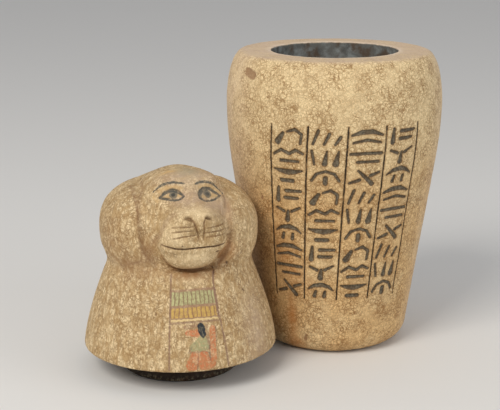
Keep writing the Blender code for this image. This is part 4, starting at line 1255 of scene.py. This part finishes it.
def lid_material(lid):
    """Blotched stone with a purple-grey wash, blue-grey brow and eye lines and a painted chest panel, with
    painted shade in the grooves, nostrils and under the chin and jaw, and painted light on the muzzle, chin,
    neck and the mane's right side.
    """
    graph = Graph("painted_lid_stone")
    stone, network = limestone(graph, lid.pale, lid.vein, 0.0042, 0.009, 0.30)
    slanted = graph.stretched((0.25, 0.45, 0.2), (1.0, 0.8, 0.45))
    shaded = graph.clouds(0.0040, 4.0, 0.62, 0.44, 0.58, 1.0, 0.0, slanted)
    uneven = graph.clouds(0.018, 3.0, 0.6, 0.30, 0.66, 0.45, 0.85)
    stone = graph.lay(stone, shaded, uneven, tone(178, 145, 98))
    stone = graph.mix(graph.clouds(0.0013, 2.0, 0.5, 0.53, 0.66, 0.0, 0.50, slanted), stone, lid.vein)
    stone = graph.lay(stone, network, 0.46, tone(136, 104, 64))
    stone = graph.mix(graph.clouds(0.0024, 3.0, 0.6, 0.54, 0.68, 0.0, 0.50, slanted), stone, lid.pale)
    layers = (
        ("brown_patch", 0.70, 0.012, tone(150, 112, 76)),
        ("wash", 0.76, 0.007, lid.wash),
        # Painted light on the muzzle, chin, neck and the mane's right side
        ("lit", 0.60, 0.004, tone(246, 222, 178)),
        ("crown_patch", 0.90, 0.007, lid.crown),
        ("yellow_patch", 0.75, 0.006, tone(220, 176, 104)),
        ("orange_patch", 0.60, 0.006, tone(206, 146, 92)),
        # Painted shadow under the chin
        ("painted_chin_shadow", 0.85, 0.006, tone(138, 92, 52)),
    )
    stone = graph.patches(stone, layers)
    # Painted shade in the face's grooves, the shoulder creases, the mane line and along the muzzle's left
    # edge
    groove_shade = tone(138, 104, 78)
    layers = (
        ("face_groove", 0.6, 2.2, 0.8, 0.40, groove_shade),
        ("shoulder_creases", 0.4, 1.4, 0.8, 0.45, groove_shade),
        ("muzzle_edge", 1.0, 2.6, 0.8, 0.40, groove_shade),
        # Painted shade along the fold under the jaw: a soft brown band and a darker core
        ("jaw_crease", 2.6, 2.6, 0.8, 0.50, tone(140, 98, 54)),
        ("jaw_crease", 0.4, 1.4, 0.5, 0.66, tone(104, 68, 38)),
        ("under_brows", 0.1, 1.0, 0.4, 0.55, tone(208, 172, 118)),
    )
    stone = painted_panel(graph, graph.lines(stone, layers), lid)
    faded = graph.clouds(0.0022, 3.0, 0.6, 0.30, 0.56, 0.50, 0.92)
    layers = (
        ("cuts", 0.20, 0.45, 0.15, 0.72, tone(120, 84, 50)),
        ("mouth_line", -0.02, 0.35, 0.20, 0.90, tone(70, 44, 26)),
        # The nostrils' brown is painted shadow inside them
        ("nostrils", -0.30, 0.80, 0.20, 0.80, tone(112, 82, 50)),
        ("spots", 0.10, 0.50, 0.35, 0.85, tone(96, 66, 48)),
        ("eye_whites", 0.10, 0.40, 0.20, 0.90, lid.eye),
        ("irises", 0.0, 0.35, 0.25, 0.88, tone(112, 106, 92)),
        ("irises", -1.5, 0.40, 0.20, 0.85, tone(56, 58, 56)),
        ("eye_lines", 0.10, 0.40, 0.25, faded, lid.brow),
        ("brows", 0.05, 0.35, 0.25, faded, lid.brow),
    )
    stone = graph.patches(graph.lines(stone, layers), (("smudge", 0.60, 0.0020, tone(104, 96, 84)),))
    seat = graph.attribute("above_seat")
    crust = graph.times(graph.clouds(0.0022, 3.0, 0.7, 0.50, 0.64), graph.span(seat, -13.0, -19.0))
    tenon = graph.mix(crust, lid.tenon, tone(132, 124, 100))
    tenon = graph.mix(graph.clouds(0.012, 3.0, 0.6, 0.52, 0.68, 0.0, 0.7), tenon, tone(88, 60, 38))
    stone = graph.mix(graph.span(seat, 0.3, -0.2), stone, tenon)
    return finish_stone(graph, stone, network, 0.64, 0.84)


def painted_panel(graph, stone, lid):
    """The chest panel: mauve edging, rows of green and of ochre bars, a pale strip and the figure."""
    across = graph.attribute("panel_across")
    shift = graph.clouds(0.003, 3.0, 0.55, 0.3, 0.7, -0.35, 0.35)
    up = graph.maths("ADD", graph.attribute("panel_up"), shift)
    worn_off = graph.clouds(0.0026, 4.0, 0.65, 0.32, 0.52, 0.45, 0.95)
    edging = graph.between(up, OCHRE_BAND[0] - 1.6, GREEN_BAND[1] + 1.8, 0.5)
    edging = graph.times(graph.times(graph.between(across, 0.0, 1.0, 0.012), edging), worn_off)
    stone = graph.lay(stone, edging, 0.80, lid.mauve)
    bent = graph.maths("ADD", across, graph.clouds(0.005, 2.0, 0.55, 0.3, 0.7, -0.010, 0.010))
    share = graph.maths("FRACT", graph.times(bent, float(BAR_COUNT)))
    from_middle = graph.maths("ABSOLUTE", graph.maths("SUBTRACT", share, 0.5))
    ends = graph.between(across, 0.02, 0.955, 0.012)
    bar = graph.times(graph.span(from_middle, 0.30, 0.43, 1.0, 0.0), ends)
    bands = ((GREEN_BAND, lid.green, tone(118, 108, 74)), (OCHRE_BAND, lid.ochre, tone(150, 108, 62)))
    for (low, top), paint, ground in bands:
        band = graph.times(graph.between(up, low, top, 0.45), ends)
        stone = graph.lay(stone, band, 0.55, ground)
        faded = graph.clouds(0.0024, 3.0, 0.7, 0.34, 0.62, 0.30, 0.95)
        stone = graph.lay(stone, graph.times(band, bar), faded, paint)
    strip = graph.times(graph.between(up, STRIP_LINE + 0.8, OCHRE_BAND[0] - 0.9, 0.3), ends)
    stone = graph.lay(stone, strip, 0.75, tone(232, 204, 146))
    flaked = graph.clouds(0.0020, 4.0, 0.7, 0.36, 0.62, 0.30, 0.95)
    paints = (
        ("mauve_paint", lid.mauve, 0.75, flaked),
        ("red_paint", lid.red, 0.95, flaked),
        ("green_paint", tone(160, 160, 116), 0.95, flaked),
        ("dark_paint", lid.dark, 1.0, 1.0),
        ("ink", tone(92, 82, 76), 0.85, flaked),
    )
    for name, paint, strength, kept in paints:
        cover = graph.times(graph.within(name, 0.0, 0.50, 0.45, 0.0030), kept)
        stone = graph.lay(stone, cover, strength, paint)
    slanted = graph.stretched((0.0, 0.5, 0.0), (1.0, 1.0, 0.35))
    hatch = graph.clouds(0.0012, 2.0, 0.5, 0.50, 0.62, 0.0, 0.6, slanted)
    stone = graph.lay(stone, hatch, graph.within("dark_paint", -0.8, 0.3, 0.1), tone(128, 120, 100))
    rules = graph.times(graph.within("panel_lines", 0.30, 0.55, 0.30), worn_off)
    return graph.lay(stone, rules, 0.80, tone(134, 102, 86))


# Operators


class CANOPIC_OT_jar(bpy.types.Operator):
    """Makes the carved jar"""

    bl_idname = "canopic.jar"
    bl_label = "Make the jar"

    def execute(self, context):
        settings = context.scene.canopic_jar
        add_piece("carved_jar", jar_mesh(settings), jar_material(settings), "jar_body")
        return {"FINISHED"}


class CANOPIC_OT_lid(bpy.types.Operator):
    """Makes the carved lid"""

    bl_idname = "canopic.lid"
    bl_label = "Make the lid"

    def execute(self, context):
        settings = context.scene.canopic_lid
        add_piece("carved_lid", lid_mesh(settings), lid_material(settings), "baboon_lid")
        return {"FINISHED"}


class CANOPIC_OT_stage(bpy.types.Operator):
    """Makes the floor, the lights and the camera"""

    bl_idname = "canopic.stage"
    bl_label = "Make the stage"

    def execute(self, context):
        stage = context.scene.canopic_stage
        make_floor(stage)
        make_lights(stage)
        make_camera()
        return {"FINISHED"}


def make_floor(stage):
    """A square floor at height 0."""
    half = stage.floor_size / 2.0
    mesh = bpy.data.meshes.new("floor")
    corners = [(-half, -half, 0.0), (half, -half, 0.0), (half, half, 0.0), (-half, half, 0.0)]
    mesh.from_pydata(corners, [], [(0, 1, 2, 3)])
    graph = Graph("pale_floor")
    graph.shader.inputs["Base Color"].default_value = (*stage.floor_colour, 1.0)
    graph.shader.inputs["Roughness"].default_value = 0.85
    mesh.materials.append(graph.material)
    floor = bpy.data.objects.new("floor", mesh)
    bpy.context.scene.collection.objects.link(floor)


def aim(thing, place, target):
    """Puts a light or camera at a place and turns it to look at a target."""
    thing.location = place
    thing.rotation_mode = "QUATERNION"
    thing.rotation_quaternion = (Vector(target) - Vector(place)).to_track_quat("-Z", "Y")


def add_light(name, power):
    """A square soft light that looks at the object."""
    place, size, tint = LIGHTS[name]
    data = bpy.data.lights.new(name, "AREA")
    data.size = size
    data.energy = power
    data.color = tint
    light = bpy.data.objects.new(name, data)
    bpy.context.scene.collection.objects.link(light)
    aim(light, place, LIGHT_TARGET)


def make_lights(stage):
    """A key light from the upper left, a weaker one from the right, and even light all round."""
    add_light("key", stage.key_power)
    add_light("fill", stage.fill_power)
    world = bpy.data.worlds.new("soft_light")
    world.use_nodes = True
    background = world.node_tree.nodes["Background"]
    background.inputs["Color"].default_value = WORLD_TINT
    background.inputs["Strength"].default_value = stage.world_light
    bpy.context.scene.world = world
    bpy.context.scene.view_settings.view_transform = "Standard"


def make_camera():
    """The photograph's view: a long lens a little above the pieces, looking down at them."""
    data = bpy.data.cameras.new("camera")
    data.lens = LENS
    data.sensor_width = SENSOR_WIDTH
    camera = bpy.data.objects.new("camera", data)
    bpy.context.scene.collection.objects.link(camera)
    place, level = Vector(CAMERA_PLACE), math.cos(CAMERA_PITCH)
    ahead = (level * math.sin(CAMERA_TURN), level * math.cos(CAMERA_TURN), -math.sin(CAMERA_PITCH))
    aim(camera, place, place + Vector(ahead))
    bpy.context.scene.camera = camera


class CANOPIC_PT_panel(bpy.types.Panel):
    """Lists the makers and their settings"""

    bl_idname = "CANOPIC_PT_panel"
    bl_label = "Canopic jar"
    bl_space_type = "VIEW_3D"
    bl_region_type = "UI"
    bl_category = "Canopic jar"

    def draw(self, context):
        for group, maker in (("canopic_jar", "jar"), ("canopic_lid", "lid"), ("canopic_stage", "stage")):
            settings = getattr(context.scene, group)
            box = self.layout.box()
            box.operator(f"canopic.{maker}")
            for name in settings.__annotations__:
                box.prop(settings, name)


GROUPS = {"canopic_jar": JarSettings, "canopic_lid": LidSettings, "canopic_stage": StageSettings}
CLASSES = (*GROUPS.values(), CANOPIC_OT_jar, CANOPIC_OT_lid, CANOPIC_OT_stage, CANOPIC_PT_panel)


def register():
    for kind in CLASSES:
        bpy.utils.register_class(kind)
    for name, kind in GROUPS.items():
        setattr(bpy.types.Scene, name, PointerProperty(type=kind))


def unregister():
    for name in GROUPS:
        delattr(bpy.types.Scene, name)
    for kind in reversed(CLASSES):
        bpy.utils.unregister_class(kind)


def main():
    """Makes the pieces and the stage."""
    register()
    bpy.ops.canopic.jar()
    bpy.ops.canopic.lid()
    bpy.ops.canopic.stage()


if __name__ == "__main__":
    main()
